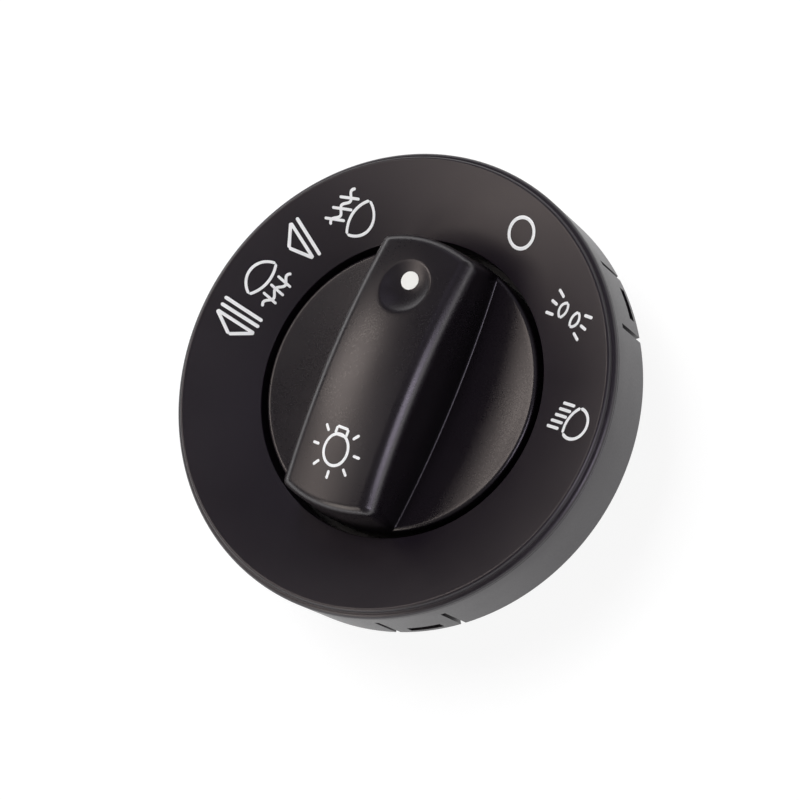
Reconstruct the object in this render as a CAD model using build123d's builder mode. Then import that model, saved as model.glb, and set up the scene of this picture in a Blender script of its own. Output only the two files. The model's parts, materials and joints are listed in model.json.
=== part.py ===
"""Rotary headlight switch with a pull-out fog lamp function, in millimetres.

The frame: Z is the knob's axis and points at the driver, Z = 0 is the flat back of the rear cover,
and +Y runs from the axis to the "off" ring on the face. Angles in this file that end in _cw are
clockwise from +Y as the driver sees them.
"""
from build123d import *
from math import asin, atan2, cos, degrees, radians, sin, sqrt, tan
import os

os.makedirs("parts", exist_ok=True)

# Bezel: dished face, rim wall and knob hole
rim_r = 38.0
rim_height = 13.33             # from the face's edge to the rear edge of the rim wall
rim_wall = 1.6
lip_step = 1.02                # from the face's edge out to the rim wall
lip_drop = 0.9                 # the outer lip starts this far below the face's edge
lip_round = 0.8
face_band = 12.4                # width of the dished face, from the hole out to its edge
dish_depth = 4.98
face_thickness = 1.8
sleeve_wall = 1.5
face_rise = 9.7                # the face's edge above the housing's flange

# Snap fingers in the rim wall
finger_angles_cw = (27.9, 131.6, 207.9, 311.6)
finger_half_angle = 8.45
finger_slot = 0.8
finger_slot_top = 5.0          # slots start this far below the face's edge
window_width = 5.6
window_height = 2.0
window_drop = 10.2             # top of the catch window below the face's edge

# Knob: disc and grip handle
knob_gap = 1.03                # between the disc's edge and the hole's wall
knob_edge_drop = 4.76          # disc edge below the face's edge
scoop_depth = 2.55
knob_skirt = 1.6
knob_skirt_depth = 5.6
knob_edge_round = 0.6
knob_web = 1.0                 # the flat underside stands this far above the skirt's end
handle_rest_cw = -21.0         # the pointer stands 21 degrees before the "off" ring
handle_half_width = 9.0
handle_edge_step = 0.05        # from the disc's edge in to the ends of the grip
handle_draft = 1.2
handle_end_draft = 4.0
handle_rise = 7.1              # top of the grip above the face's edge
handle_arch_r = 100.0
handle_root = 1.5              # the grip's solid reaches this far below the scoop
handle_round = 1.7
handle_wall = 2.0
handle_wall_play = 0.3         # the hollow's walls stand this much further in than the draft needs
grip_roof = 5.0                # solid left over the hollow, at the middle of the arch
dimple_inset = 8.3             # from the pointer end to the dimple's middle
dimple_d = 9.0
dimple_depth = 1.1
dot_d = 3.0
dot_proud = 0.2
bulb_inset = 9.8               # from the other end to the bulb mark's middle
bulb_half_width = 2.1
bulb_half_height = 2.5
bulb_base_width = 2.0
bulb_base_height = 1.2
bulb_base_rise = 0.45          # middle of the base beyond the end of the lamp
ray_gap = 1.0                  # from the lamp's outline to a ray
ray_length = 1.3
guide_end_gap = 5.5            # from the grip's end to the end of its light guide
guide_side_gap = 0.6
guide_thickness = 2.0
guide_lift = 1.0               # the guide's slab above the disc's underside
guide_clearance = 0.25

# Marks moulded into the black skin, each with its angle and its middle's distance from the band's
mark_unit = 1.0                # one unit of the marks' own drawings
mark_band = 12.4               # width of the band of face that the marks are drawn for
mark_depth = 0.3
print_thickness = 0.06
mark_stroke = 0.56
fine_stroke = 0.46
off_ring_r = 2.34
wave_bulge = 0.28              # each bow's bulge, as a share of its length
off_cw, off_shift = 0.0, 0.37
side_lights_cw, side_lights_shift = 30.7, -0.1
dipped_beam_cw, dipped_beam_shift = 63.0, 0.5
front_fog_cw, front_fog_shift = 300.6, -0.3
pull_once_cw, pull_once_shift = 282.2, -0.1
rear_fog_cw, rear_fog_shift = 265.8, -0.7
pull_twice_cw, pull_twice_shift = 251.6, 0.6

# Fits
running = 0.05
clear = 0.3

# Housing
wall = 1.8
sleeve_seat = 0.62             # the housing's mouth stands this far outside the knob hole
detent_room = 9.2              # the least between rotor and barrel, for the ball and its spring
barrel_bottom = 4.0
flange_thickness = 2.0
mouth_depth = 3.3              # from the flange's top down to the deck
deck_thickness = 2.0
catch_width = 5.0
catch_height = 1.4
catch_reach = 1.4

# Light guide and lamp board behind the face
board_gap = 0.6                # between the board and the housing's mouth wall
board_thickness = 1.0
lamp_length = 1.6
lamp_width = 0.8
lamp_height = 0.7
resistor_length = 1.6
resistor_width = 0.8
resistor_height = 0.45
resistor_angles_cw = (16.0, 47.0, 78.0, 315.0)
ring_guide_side_gap = 0.6      # between the ring guide and the rim wall
ring_guide_sleeve_gap = 0.52
ring_guide_thickness = 1.5
ring_guide_foot = 0.8
ring_guide_seat = 0.6          # width of the guide's foot that stands on the flange
board_play = 0.1

# Rotor, its detent and the shaft
rotor_r = 16.0
rotor_lift = 4.6               # underside of the rotor above the contact plate's underside
rotor_thickness = 2.6
rotor_headroom = 1.4           # between the rotor's disc and the deck
collar_r = 9.0
collar_rise = 2.0              # top of the collar above the deck
thrust_width = 2.0
notch_depth = 0.7
detent_turns = (21.0, 52.0, 83.0)
ball_r = 1.9
ball_play = 0.1
ball_angle_cw = 90.0
detent_wire = 0.5
detent_coils = 5.5
shaft_r = 3.0
shaft_flat = 2.3
boss_wall = 1.4                # wall of the knob's boss round the shaft
hub_wall = 1.6                 # wall of the rotor's hub round the shaft
shaft_end_wall = 3.1           # between the shaft's end and the roof of the grip's hollow
tail_r = 2.0
tail_length = 4.5
tail_bottom = 2.6
clip_r = 3.4
clip_thickness = 0.6
pull_travel = 5.6
clip_wire = 0.8
clip_lift = 1.0                # middle of the clip's wire above the deck
groove_depth = 0.35

# Contacts
plate_play = 0.2
plate_thickness = 2.0
track_thickness = 0.3
track_insets = (7.4, 4.6, 1.8)
track_width = 1.6
wiper_thickness = 0.3
wiper_width = 1.2
slider_half_width = 6.0
slider_front = 16.0
slider_back = -4.0
slider_gap = 1.0               # between the slider and the connector's shroud
slider_play = 0.2
bridge_thickness = 0.3
bridge_width = 2.0
bridge_length = 10.0
bridge_y = 9.0
fog_pad = 2.0
fog_pad_thickness = 0.5
fog_pad_gap = 0.1              # left between pad and bridge at the end of the pull

# Rear cover and connector
cover_step = 0.7               # the cover's end stands this far inside the barrel's bore
cover_flange_step = 0.8        # and its seating flange this far inside the barrel's wall
cover_flange_bottom = 2.2
cover_wall = 1.7
cover_floor = 2.0
connector_x = 28.0
connector_y = 11.0
connector_margin = 2.08        # from the connector's far corners out to the cover's rim
connector_depth = 7.5
connector_wall = 1.5
blade_width = 2.4
blade_thickness = 0.8
blade_pitch_x = 4.2
blade_pitch_y = 6.0
blade_columns = 6
blade_tip = 2.2
rail_half_width = 1.5
rail_lap = 2.0                 # how far the rail reaches into the slider
snap_angles_cw = (45, 135, 225, 315)
snap_width = 6.0
snap_height = 1.6
snap_drop = 2.3                # from the barrel's end face to the lower side of a snap
snap_reach = 0.9
ledge_angles_cw = (0, 180, 270)
ledge_size = 3.0

# Heights that follow, from the flat back up to the grip
tail_top = tail_bottom + tail_length
bridge_bottom = tail_top - slider_play
bridge_raised = bridge_bottom + bridge_thickness + pull_travel
plate_bottom = bridge_raised + fog_pad_gap + fog_pad_thickness
plate_top = plate_bottom + plate_thickness
track_top = plate_top + track_thickness
rotor_bottom = plate_bottom + rotor_lift
rotor_top = rotor_bottom + rotor_thickness
ball_z = rotor_bottom + rotor_thickness / 2
deck_bottom = rotor_top + rotor_headroom
deck_top = deck_bottom + deck_thickness
collar_top = deck_top + collar_rise
clip_z = deck_top + clip_lift
flange_top = deck_top + mouth_depth
flange_bottom = flange_top - flange_thickness
board_top = flange_top + board_thickness
face_z = flange_top + face_rise
hole_z = face_z - dish_depth
rim_bottom = face_z - rim_height
disc_z = face_z - knob_edge_drop
knob_bottom = disc_z - knob_skirt_depth
handle_top = face_z + handle_rise
roof_z = handle_top - grip_roof
shaft_top = roof_z - shaft_end_wall

# Radii and distances from the axis that follow
rim_inner_r = rim_r - rim_wall
face_edge_r = rim_r - lip_step
hole_r = face_edge_r - face_band
dish_slope = dish_depth / face_band
sleeve_r = hole_r + sleeve_wall
knob_r = hole_r - knob_gap
scoop_r = (knob_r**2 + scoop_depth**2) / (2 * scoop_depth)
handle_end_r = knob_r - handle_edge_step
dimple_at = handle_end_r - dimple_inset
dimple_ball_r = ((dimple_d / 2) ** 2 + dimple_depth**2) / (2 * dimple_depth)
bulb_at = bulb_inset - handle_end_r
cavity_half_width = handle_half_width - handle_wall - handle_wall_play
guide_slab_r = handle_end_r - guide_end_gap
guide_half_width = cavity_half_width - guide_side_gap
flange_r = rim_inner_r - clear
mouth_r = hole_r + sleeve_seat
ring_guide_inner_r = sleeve_r + ring_guide_sleeve_gap
ring_guide_outer_r = rim_inner_r - ring_guide_side_gap
board_inner_r = mouth_r + wall + board_gap
board_outer_r = ring_guide_outer_r - ring_guide_seat
connector_centre_y = slider_back - slider_gap - connector_wall - connector_y / 2
connector_reach = sqrt((connector_x / 2) ** 2 + (connector_y / 2 - connector_centre_y) ** 2)
barrel_inner_r = max(rotor_r + detent_room, connector_reach + connector_margin + cover_step)
barrel_r = barrel_inner_r + wall
plate_r = barrel_inner_r - plate_play
track_radii = tuple(rotor_r - inset for inset in track_insets)
cover_r = barrel_inner_r - cover_step
cover_flange_r = barrel_r - cover_flange_step
rail_front = slider_front - rail_lap
ball_x = rotor_r + running + ball_r
ball_bore_r = ball_r + ball_play
boss_r = shaft_r + boss_wall
hub_r = shaft_r + hub_wall

# The grip's own plane: its local Y runs to the pointer end, its local X to the right of the grip
handle_plane = Plane(
    origin=(0, 0, 0),
    x_dir=(cos(radians(handle_rest_cw)), -sin(radians(handle_rest_cw)), 0),
    z_dir=(0, 0, 1),
)


def at_cw(angle_cw, radius, height=0.0):
    """Return a location on a radius, turned so that its local X points away from the axis."""
    turn = 90 - angle_cw
    return Location((radius * cos(radians(turn)), radius * sin(radians(turn)), height), (0, 0, turn))


def dish_height(radius):
    """Return the height of the dished face at a radius."""
    return face_z - dish_slope * (face_edge_r - radius)


def scoop_height(radius):
    """Return the height of the knob's dished disc at a radius."""
    return disc_z - sqrt(scoop_r**2 - radius**2) + sqrt(scoop_r**2 - knob_r**2)


def arch_height(along):
    """Return the height of the grip's top on its centre line, at a distance along it."""
    return handle_top - handle_arch_r + sqrt(handle_arch_r**2 - along**2)


def bar(start, end, width):
    """Add a straight stroke with round ends, which lie inside its length, to the open sketch."""
    x0, y0 = start
    x1, y1 = end
    length = sqrt((x1 - x0) ** 2 + (y1 - y0) ** 2)
    with Locations(Location(((x0 + x1) / 2, (y0 + y1) / 2, 0), (0, 0, degrees(atan2(y1 - y0, x1 - x0))))):
        SlotCenterToCenter(length - width, width)


def lens_loop(top, left, bottom, right, width):
    """Add the outline of a lamp lens: two arcs that meet at a top and a bottom point."""
    with BuildSketch(mode=Mode.PRIVATE) as loop:
        with BuildLine():
            ThreePointArc(top, right, bottom)
            ThreePointArc(bottom, left, top)
        make_face()
        offset(amount=-width / 2)
        outline = loop.sketch
        offset(amount=width)
        add(outline, mode=Mode.SUBTRACT)
    add(loop.sketch)


def wave(low, high, count, width):
    """Add an upright wavy line: bows that bulge to one side and then the other."""
    step = (high[1] - low[1]) / count
    with BuildSketch(mode=Mode.PRIVATE) as line:
        with BuildLine() as path:
            for k in range(count):
                side = 1 if k % 2 else -1
                y0 = low[1] + k * step
                bulge = (low[0] + side * step * wave_bulge, y0 + step / 2)
                ThreePointArc((low[0], y0), bulge, (low[0], y0 + step))
        trace(path.line, line_width=width)
    add(line.sketch)


# The marks are drawn about their own middles, upright to +Y, and keep to the band of face
mark_scale = mark_unit * face_band / mark_band
bold = mark_stroke * face_band / mark_band
fine = fine_stroke * face_band / mark_band


def mark_place(angle_cw, shift):
    """Return a function that puts a mark's own point on the face."""
    middle_r = (hole_r + face_edge_r) / 2 + shift * mark_scale
    middle_x, middle_y = middle_r * sin(radians(angle_cw)), middle_r * cos(radians(angle_cw))
    return lambda x, y: (middle_x + mark_scale * x, middle_y + mark_scale * y)


def arrow_head(corners, lines):
    """Add a triangle of bold strokes and the lines beside it."""
    for first, second in zip(corners, corners[1:] + corners[:1]):
        bar(first, second, bold)
    for first, second in lines:
        bar(first, second, bold)


with BuildSketch(Plane.XY.offset(face_z + 1)) as face_marks:
    # Off: a plain ring
    at = mark_place(off_cw, off_shift)
    with Locations(at(0, 0)):
        Circle(off_ring_r * mark_scale + bold / 2)
        Circle(off_ring_r * mark_scale - bold / 2, mode=Mode.SUBTRACT)
    # Side lights: two narrow lamps back to back with three rays each
    at = mark_place(side_lights_cw, side_lights_shift)
    for side in (-1, 1):
        lens_loop(
            at(side * 1.3, 1.27), at(side * 1.5 - 0.72, 0.02), at(side * 1.3, -1.28),
            at(side * 1.5 + 0.72, 0.02), fine,
        )
        for rise in (-1, 0, 1):
            bar(
                at(side * (2.9 - 0.35 * abs(rise)), rise * 1.55),
                at(side * (4.4 - 0.2 * abs(rise)), rise * 2.05), fine,
            )
    # Dipped beam: five slanting rays and a lens
    at = mark_place(dipped_beam_cw, dipped_beam_shift)
    lens_loop(at(0.13, 2.8), at(-0.62, 0.4), at(0.13, -1.9), at(3.43, 0.55), bold)
    for k in range(5):
        bar(at(-3.42, -2.7 + 1.07 * k), at(-1.02, -1.85 + 1.07 * k), bold)
    # Front fog lamp: a lens, three slanting rays and a wavy line across them
    at = mark_place(front_fog_cw, front_fog_shift)
    lens_loop(at(1.14, 3.48), at(0.04, 0.18), at(1.14, -3.12), at(3.64, 0.18), fine)
    for k in range(3):
        bar(at(-3.21, -3.52 + 2.12 * k), at(-0.31, -1.67 + 2.12 * k), fine)
    wave(at(-1.76, -3.72), at(-1.76, 3.48), 5, fine)
    # Rear fog lamp: the same, with its lens on the left and level rays
    at = mark_place(rear_fog_cw, rear_fog_shift)
    lens_loop(at(-1.0, 3.27), at(-3.4, -0.1), at(-1.0, -3.45), at(-0.1, -0.1), fine)
    for k in range(3):
        bar(at(0.4, -1.68 + 1.8 * k), at(3.15, -1.68 + 1.8 * k), fine)
    wave(at(1.85, -3.5), at(1.85, 3.7), 5, fine)
    # Pull out once and pull out twice: an arrow head seen aslant, with one line or two
    at = mark_place(pull_once_cw, pull_once_shift)
    arrow_head(
        (at(-3.21, 1.22), at(-1.01, -2.08), at(2.89, -0.68)),
        ((at(-3.01, 2.52), at(3.49, 0.42)),),
    )
    at = mark_place(pull_twice_cw, pull_twice_shift)
    arrow_head(
        (at(-3.12, -1.09), at(0.78, -2.79), at(3.58, 0.01)),
        (
            (at(-3.42, 0.11), at(3.48, 1.31)),
            (at(-3.72, 1.31), at(3.18, 2.41)),
        ),
    )

# A skin that follows the dished face, as deep as the marks
with BuildPart() as face_skin:
    with BuildSketch(Plane.XZ) as skin_profile:
        Polygon(
            (hole_r + 0.4, dish_height(hole_r + 0.4)),
            (face_edge_r - 0.4, dish_height(face_edge_r - 0.4)),
            (face_edge_r - 0.4, dish_height(face_edge_r - 0.4) - mark_depth),
            (hole_r + 0.4, dish_height(hole_r + 0.4) - mark_depth),
            align=None,
        )
    revolve(axis=Axis.Z)

with BuildPart() as bezel_marks:
    add(face_skin.part)
    extrude(face_marks.sketch, amount=-2 * dish_depth, mode=Mode.INTERSECT)
bezel_marks.part.label = "bezel_marks"
export_step(bezel_marks.part, "parts/bezel_marks.step")

# Bezel: dished face, thin lip, rim wall and the sleeve round the knob hole, moulded in one
with BuildPart() as bezel:
    with BuildSketch(Plane.XZ) as bezel_profile:
        with BuildLine():
            Polyline(
                (hole_r, flange_top),
                (hole_r, hole_z),
                (face_edge_r, face_z),
                (face_edge_r + 0.18, face_z - 0.12),
                (face_edge_r + 0.18, face_z - lip_drop),
                (rim_r - lip_round * 0.6, face_z - lip_drop),
                (rim_r, face_z - lip_drop - lip_round),
                (rim_r, rim_bottom),
                (rim_inner_r, rim_bottom),
                (rim_inner_r, dish_height(rim_inner_r) - face_thickness),
                (sleeve_r, dish_height(sleeve_r) - face_thickness),
                (sleeve_r, flange_top),
                close=True,
            )
        make_face()
    revolve(axis=Axis.Z)
    # Two slots beside each snap finger, open at the rear edge
    for middle in finger_angles_cw:
        for side in (-1, 1):
            with Locations(at_cw(middle + side * finger_half_angle, rim_r, rim_bottom)):
                Box(
                    3 * rim_wall, finger_slot, rim_height - finger_slot_top,
                    align=(Align.CENTER, Align.CENTER, Align.MIN), mode=Mode.SUBTRACT,
                )
        with Locations(at_cw(middle, rim_r, face_z - window_drop)):
            Box(
                3 * rim_wall, window_width, window_height,
                align=(Align.CENTER, Align.CENTER, Align.MAX), mode=Mode.SUBTRACT,
            )
    add(bezel_marks.part, mode=Mode.SUBTRACT)
bezel.part.label = "bezel"
export_step(bezel.part, "parts/bezel.step")

# Light guide ring: a clear cone that lies under the face and stands on the lamp board
with BuildPart() as light_guide:
    with BuildSketch(Plane.XZ):
        Polygon(
            (ring_guide_inner_r, dish_height(ring_guide_inner_r) - face_thickness),
            (ring_guide_outer_r, dish_height(ring_guide_outer_r) - face_thickness),
            (ring_guide_outer_r, flange_top),
            (board_outer_r + board_play, flange_top),
            (board_outer_r + board_play, board_top),
            (ring_guide_outer_r - ring_guide_foot, board_top),
            (
                ring_guide_outer_r - ring_guide_foot,
                dish_height(ring_guide_outer_r - ring_guide_foot) - face_thickness - ring_guide_thickness,
            ),
            (ring_guide_inner_r, dish_height(ring_guide_inner_r) - face_thickness - ring_guide_thickness),
            align=None,
        )
    revolve(axis=Axis.Z)
light_guide.part.label = "light_guide"
export_step(light_guide.part, "parts/light_guide.step")

# Lamp board: a ring of circuit board on the housing's flange
with BuildPart() as lamp_board:
    with BuildSketch(Plane.XY.offset(flange_top)):
        Circle(board_outer_r)
        Circle(board_inner_r, mode=Mode.SUBTRACT)
    extrude(amount=board_thickness)
lamp_board.part.label = "lamp_board"
export_step(lamp_board.part, "parts/lamp_board.step")

# A small lamp under each mark, and its series resistor beside it
mark_angles_cw = (
    off_cw, side_lights_cw, dipped_beam_cw, pull_twice_cw, rear_fog_cw, pull_once_cw, front_fog_cw,
)
board_middle_r = (board_inner_r + ring_guide_outer_r - ring_guide_foot) / 2
with BuildPart() as board_lamps:
    for angle in mark_angles_cw:
        with Locations(at_cw(angle, board_middle_r, board_top)):
            Box(lamp_width, lamp_length, lamp_height, align=(Align.CENTER, Align.CENTER, Align.MIN))
board_lamps.part.label = "board_lamps"
export_step(board_lamps.part, "parts/board_lamps.step")

with BuildPart() as board_resistors:
    for angle in resistor_angles_cw:
        with Locations(at_cw(angle, board_middle_r, board_top)):
            Box(
                resistor_width, resistor_length, resistor_height,
                align=(Align.CENTER, Align.CENTER, Align.MIN),
            )
board_resistors.part.label = "board_resistors"
export_step(board_resistors.part, "parts/board_resistors.step")

# Housing: flange with catches, barrel, deck with the rotor's bearing, and the detent pocket
with BuildPart() as housing:
    deck_r = max(barrel_r, mouth_r + wall)
    with BuildSketch(Plane.XZ):
        for inner, outer, bottom, top in (
            (barrel_inner_r, barrel_r, barrel_bottom, deck_top),
            (collar_r + running, deck_r, deck_bottom, deck_top),
            (mouth_r, mouth_r + wall, deck_bottom, flange_top),
            (mouth_r, flange_r, flange_bottom, flange_top),
        ):
            with Locations(((inner + outer) / 2, (bottom + top) / 2)):
                Rectangle(outer - inner, top - bottom)
    revolve(axis=Axis.Z)
    # Catches that stand in the fingers' windows
    window_top = face_z - window_drop
    for middle in finger_angles_cw:
        with BuildSketch(Plane(at_cw(middle, 0)) * Plane.XZ) as catch_profile:
            Polygon(
                (flange_r - 1, window_top - clear - catch_height),
                (flange_r + 0.4, window_top - clear - catch_height),
                (flange_r + catch_reach, window_top - clear - 0.5),
                (flange_r + catch_reach, window_top - clear),
                (flange_r - 1, window_top - clear),
                align=None,
            )
        extrude(amount=catch_width / 2, both=True)
    # Block under the deck that holds the detent ball and its spring
    with BuildSketch(Plane.XY.offset(deck_bottom)):
        with Locations(at_cw(ball_angle_cw, (rotor_r + clear + barrel_inner_r + 0.5) / 2)):
            Rectangle(barrel_inner_r + 0.5 - rotor_r - clear, 2 * ball_bore_r + 3)
    extrude(amount=-(deck_bottom - track_top - 0.6))
    with Locations(Location((0, 0, ball_z), (0, 0, 90 - ball_angle_cw))):
        with Locations(Location(((rotor_r + barrel_inner_r) / 2, 0, 0), (0, 90, 0))):
            Cylinder(ball_bore_r, barrel_inner_r - rotor_r, mode=Mode.SUBTRACT)
    # Ledges that the contact plate is held against
    for angle in ledge_angles_cw:
        with Locations(at_cw(angle, barrel_inner_r + 0.2, plate_top)):
            Box(
                ledge_size, ledge_size, ledge_size / 2,
                align=(Align.MAX, Align.CENTER, Align.MIN),
            )
    # Windows for the rear cover's snaps
    for angle in snap_angles_cw:
        with Locations(at_cw(angle, barrel_r, barrel_bottom + snap_drop - clear)):
            Box(
                3 * wall, snap_width + 2 * clear, snap_height + 2 * clear,
                align=(Align.CENTER, Align.CENTER, Align.MIN), mode=Mode.SUBTRACT,
            )
housing.part.label = "housing"
export_step(housing.part, "parts/housing.step")

# Detent ball and its compression spring, in the pocket beside the rotor
with BuildPart() as detent_ball:
    with Locations(at_cw(ball_angle_cw, ball_x, ball_z)):
        Sphere(ball_r)
detent_ball.part.label = "detent_ball"
export_step(detent_ball.part, "parts/detent_ball.step")

spring_start = ball_x + ball_r * 0.82 + detent_wire / 2
spring_end = barrel_inner_r - detent_wire / 2
spring_r = ball_bore_r - detent_wire / 2 - 0.15
spring_plane = Plane(
    origin=(
        spring_start * sin(radians(ball_angle_cw)), spring_start * cos(radians(ball_angle_cw)), ball_z,
    ),
    z_dir=(sin(radians(ball_angle_cw)), cos(radians(ball_angle_cw)), 0),
)
with BuildPart() as detent_spring:
    with BuildLine():
        coil = Helix(
            (spring_end - spring_start) / detent_coils, spring_end - spring_start, spring_r,
            center=spring_plane.origin, direction=spring_plane.z_dir,
        )
    with BuildSketch(Plane(origin=coil @ 0, z_dir=coil % 0)):
        Circle(detent_wire / 2)
    sweep(path=coil, is_frenet=True)
detent_spring.part.label = "detent_spring"
export_step(detent_spring.part, "parts/detent_spring.step")

# The shaft's D section, grown by a clearance for the bores it sits in
def d_section(grow):
    """Add the shaft's D-shaped section to the open sketch, in the grip's own frame."""
    Circle(shaft_r + grow)
    with Locations((0, shaft_flat + grow)):
        Rectangle(
            2 * shaft_r + 2, shaft_r, align=(Align.CENTER, Align.MIN), mode=Mode.SUBTRACT,
        )


# Rotor: disc with the detent notches in its rim, collar in the deck's bearing
with BuildPart() as rotor:
    with BuildSketch(Plane.XY.offset(rotor_bottom)) as rotor_disc:
        Circle(rotor_r)
        for turn in detent_turns:
            with Locations(at_cw(ball_angle_cw - turn, rotor_r + ball_r - notch_depth)):
                Circle(ball_r + running, mode=Mode.SUBTRACT)
    extrude(amount=rotor_thickness)
    with BuildSketch(Plane.XY.offset(rotor_top)):
        Circle(collar_r + thrust_width)
    extrude(amount=deck_bottom - clear - rotor_top)
    with BuildSketch(Plane.XY.offset(rotor_top)):
        Circle(collar_r)
    extrude(amount=collar_top - rotor_top)
    with BuildSketch(Plane.XY.offset(plate_bottom + clear)):
        Circle(hub_r)
    extrude(amount=rotor_bottom - plate_bottom - clear)
    with BuildSketch(handle_plane.offset(plate_bottom)):
        d_section(running)
    extrude(amount=collar_top - plate_bottom, mode=Mode.SUBTRACT)
    # Open groove in the collar for the wire clip
    with BuildSketch(handle_plane.offset(collar_top)):
        with BuildLine() as groove_path:
            clip_leg = shaft_r + running + clip_wire / 2
            Line((-collar_r + 1, clip_leg), (2.0, clip_leg))
            ThreePointArc((2.0, clip_leg), (2.0 + clip_leg, 0), (2.0, -clip_leg))
            Line((2.0, -clip_leg), (-collar_r + 1, -clip_leg))
        trace(groove_path.line, line_width=clip_wire + 2 * running)
    extrude(amount=-(collar_top - clip_z + clip_wire / 2), mode=Mode.SUBTRACT)
rotor.part.label = "rotor"
export_step(rotor.part, "parts/rotor.step")

# Wire clip: a hairpin whose legs press on the shaft and drop into its grooves
with BuildPart() as pull_clip:
    with BuildLine(handle_plane.offset(clip_z)) as clip_path:
        Line((-collar_r + 1.6, clip_leg), (2.0, clip_leg))
        ThreePointArc((2.0, clip_leg), (2.0 + clip_leg, 0), (2.0, -clip_leg))
        Line((2.0, -clip_leg), (-collar_r + 1.6, -clip_leg))
    with BuildSketch(Plane(origin=clip_path.line @ 0, z_dir=clip_path.line % 0)):
        Circle(clip_wire / 2)
    sweep(path=clip_path.line)
pull_clip.part.label = "pull_clip"
export_step(pull_clip.part, "parts/pull_clip.step")

# Wipers: three sprung bridges under the rotor, one for each pair of track turns
with BuildPart() as rotor_wipers:
    for index, radius in enumerate(track_radii):
        with BuildSketch(Plane(at_cw(180 + 45 * index, radius)) * Plane.YZ):
            with BuildLine():
                Polyline(
                    (-2.6, rotor_bottom),
                    (-1.4, rotor_bottom - wiper_thickness),
                    (-0.2, rotor_bottom - wiper_thickness),
                    (1.9, track_top + running),
                    (2.5, track_top + running),
                    (2.9, track_top + running + 0.4),
                    (2.7, track_top + running + 0.6),
                    (2.4, track_top + running + wiper_thickness),
                    (2.0, track_top + running + wiper_thickness),
                    (0.1, rotor_bottom),
                    close=True,
                )
            make_face()
        extrude(amount=wiper_width / 2, both=True)
rotor_wipers.part.label = "rotor_wipers"
export_step(rotor_wipers.part, "parts/rotor_wipers.step")

# Shaft: D-shaped, with a round tail for the fog slider and three grooves for the wire clip
with BuildPart() as shaft:
    with BuildSketch(handle_plane.offset(tail_top)):
        d_section(0)
    extrude(amount=shaft_top - tail_top)
    with BuildSketch(Plane.XY.offset(tail_bottom)):
        Circle(tail_r)
    extrude(amount=tail_top - tail_bottom)
    with BuildSketch(Plane.XZ):
        for step in (0, 1, 2):
            with Locations((shaft_r, clip_z - step * pull_travel / 2)):
                Circle(groove_depth + clip_wire / 4)
    revolve(axis=Axis.Z, mode=Mode.SUBTRACT)
    clip_groove_z = tail_bottom + 0.5
    with BuildSketch(Plane.XY.offset(clip_groove_z)):
        Circle(tail_r + 1)
        Circle(tail_r - 0.4, mode=Mode.SUBTRACT)
    extrude(amount=clip_thickness + 0.1, mode=Mode.SUBTRACT)
shaft.part.label = "shaft"
export_step(shaft.part, "parts/shaft.step")

# Clip ring on the shaft's tail, under the fog slider
with BuildPart() as shaft_clip:
    with BuildSketch(Plane.XY.offset(clip_groove_z + 0.05)):
        Circle(clip_r)
        Circle(tail_r - 0.4 + running, mode=Mode.SUBTRACT)
        with Locations((clip_r, 0)):
            Rectangle(2 * clip_r, 2 * (tail_r - 0.6), mode=Mode.SUBTRACT)
    extrude(amount=clip_thickness)
shaft_clip.part.label = "shaft_clip"
export_step(shaft_clip.part, "parts/shaft_clip.step")

# The grip's solid form and the hollow inside it
grip_foot = disc_z - scoop_depth - handle_root
side_plane = Plane(origin=(0, 0, 0), x_dir=handle_plane.y_dir, z_dir=handle_plane.x_dir)


def arched_block(half_width, rise):
    """Return a block that spans the grip, its top on the arch or raised above it."""
    with BuildPart(mode=Mode.PRIVATE) as block:
        with BuildSketch(side_plane):
            with Locations((0, handle_top - handle_arch_r)):
                Circle(handle_arch_r + rise)
            with Locations((0, grip_foot - 1)):
                Rectangle(
                    3 * handle_end_r, 3 * handle_end_r, align=(Align.CENTER, Align.MIN),
                    mode=Mode.INTERSECT,
                )
        extrude(amount=half_width, both=True)
    return block.part


# Bulb mark printed on the grip: a lamp with a square base and seven rays
with BuildPart() as knob_marks:
    with BuildSketch(handle_plane.offset(handle_top + 1)):
        with Locations((0, bulb_at)):
            Ellipse(bulb_half_width + fine_stroke / 2, bulb_half_height + fine_stroke / 2)
            Ellipse(
                bulb_half_width - fine_stroke / 2, bulb_half_height - fine_stroke / 2,
                mode=Mode.SUBTRACT,
            )
        with Locations((0, bulb_at + bulb_half_height + bulb_base_rise)):
            Rectangle(bulb_base_width + fine_stroke, bulb_base_height + fine_stroke)
            Rectangle(bulb_base_width - fine_stroke, bulb_base_height - fine_stroke, mode=Mode.SUBTRACT)
        for k in range(7):
            ray = radians(45 - 45 * k)
            start_x, start_y = bulb_half_width + ray_gap, bulb_half_height + ray_gap
            bar(
                (start_x * cos(ray), bulb_at + start_y * sin(ray)),
                ((start_x + ray_length) * cos(ray), bulb_at + (start_y + ray_length) * sin(ray)),
                fine_stroke,
            )
    extrude(amount=-handle_rise)
    add(arched_block(handle_half_width, print_thickness), mode=Mode.INTERSECT)
    add(arched_block(handle_half_width + 1, 0), mode=Mode.SUBTRACT)
knob_marks.part.label = "knob_marks"
export_step(knob_marks.part, "parts/knob_marks.step")

dimple_floor = arch_height(dimple_at) - dimple_depth
dot_hole_r = dot_d / 2 + 0.02
dot_turn = degrees(asin(dot_hole_r / dimple_ball_r))
dimple_plane = Plane(
    origin=handle_plane.from_local_coords(Vector(0, dimple_at, 0)), x_dir=handle_plane.x_dir,
    z_dir=-handle_plane.y_dir,
)
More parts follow.
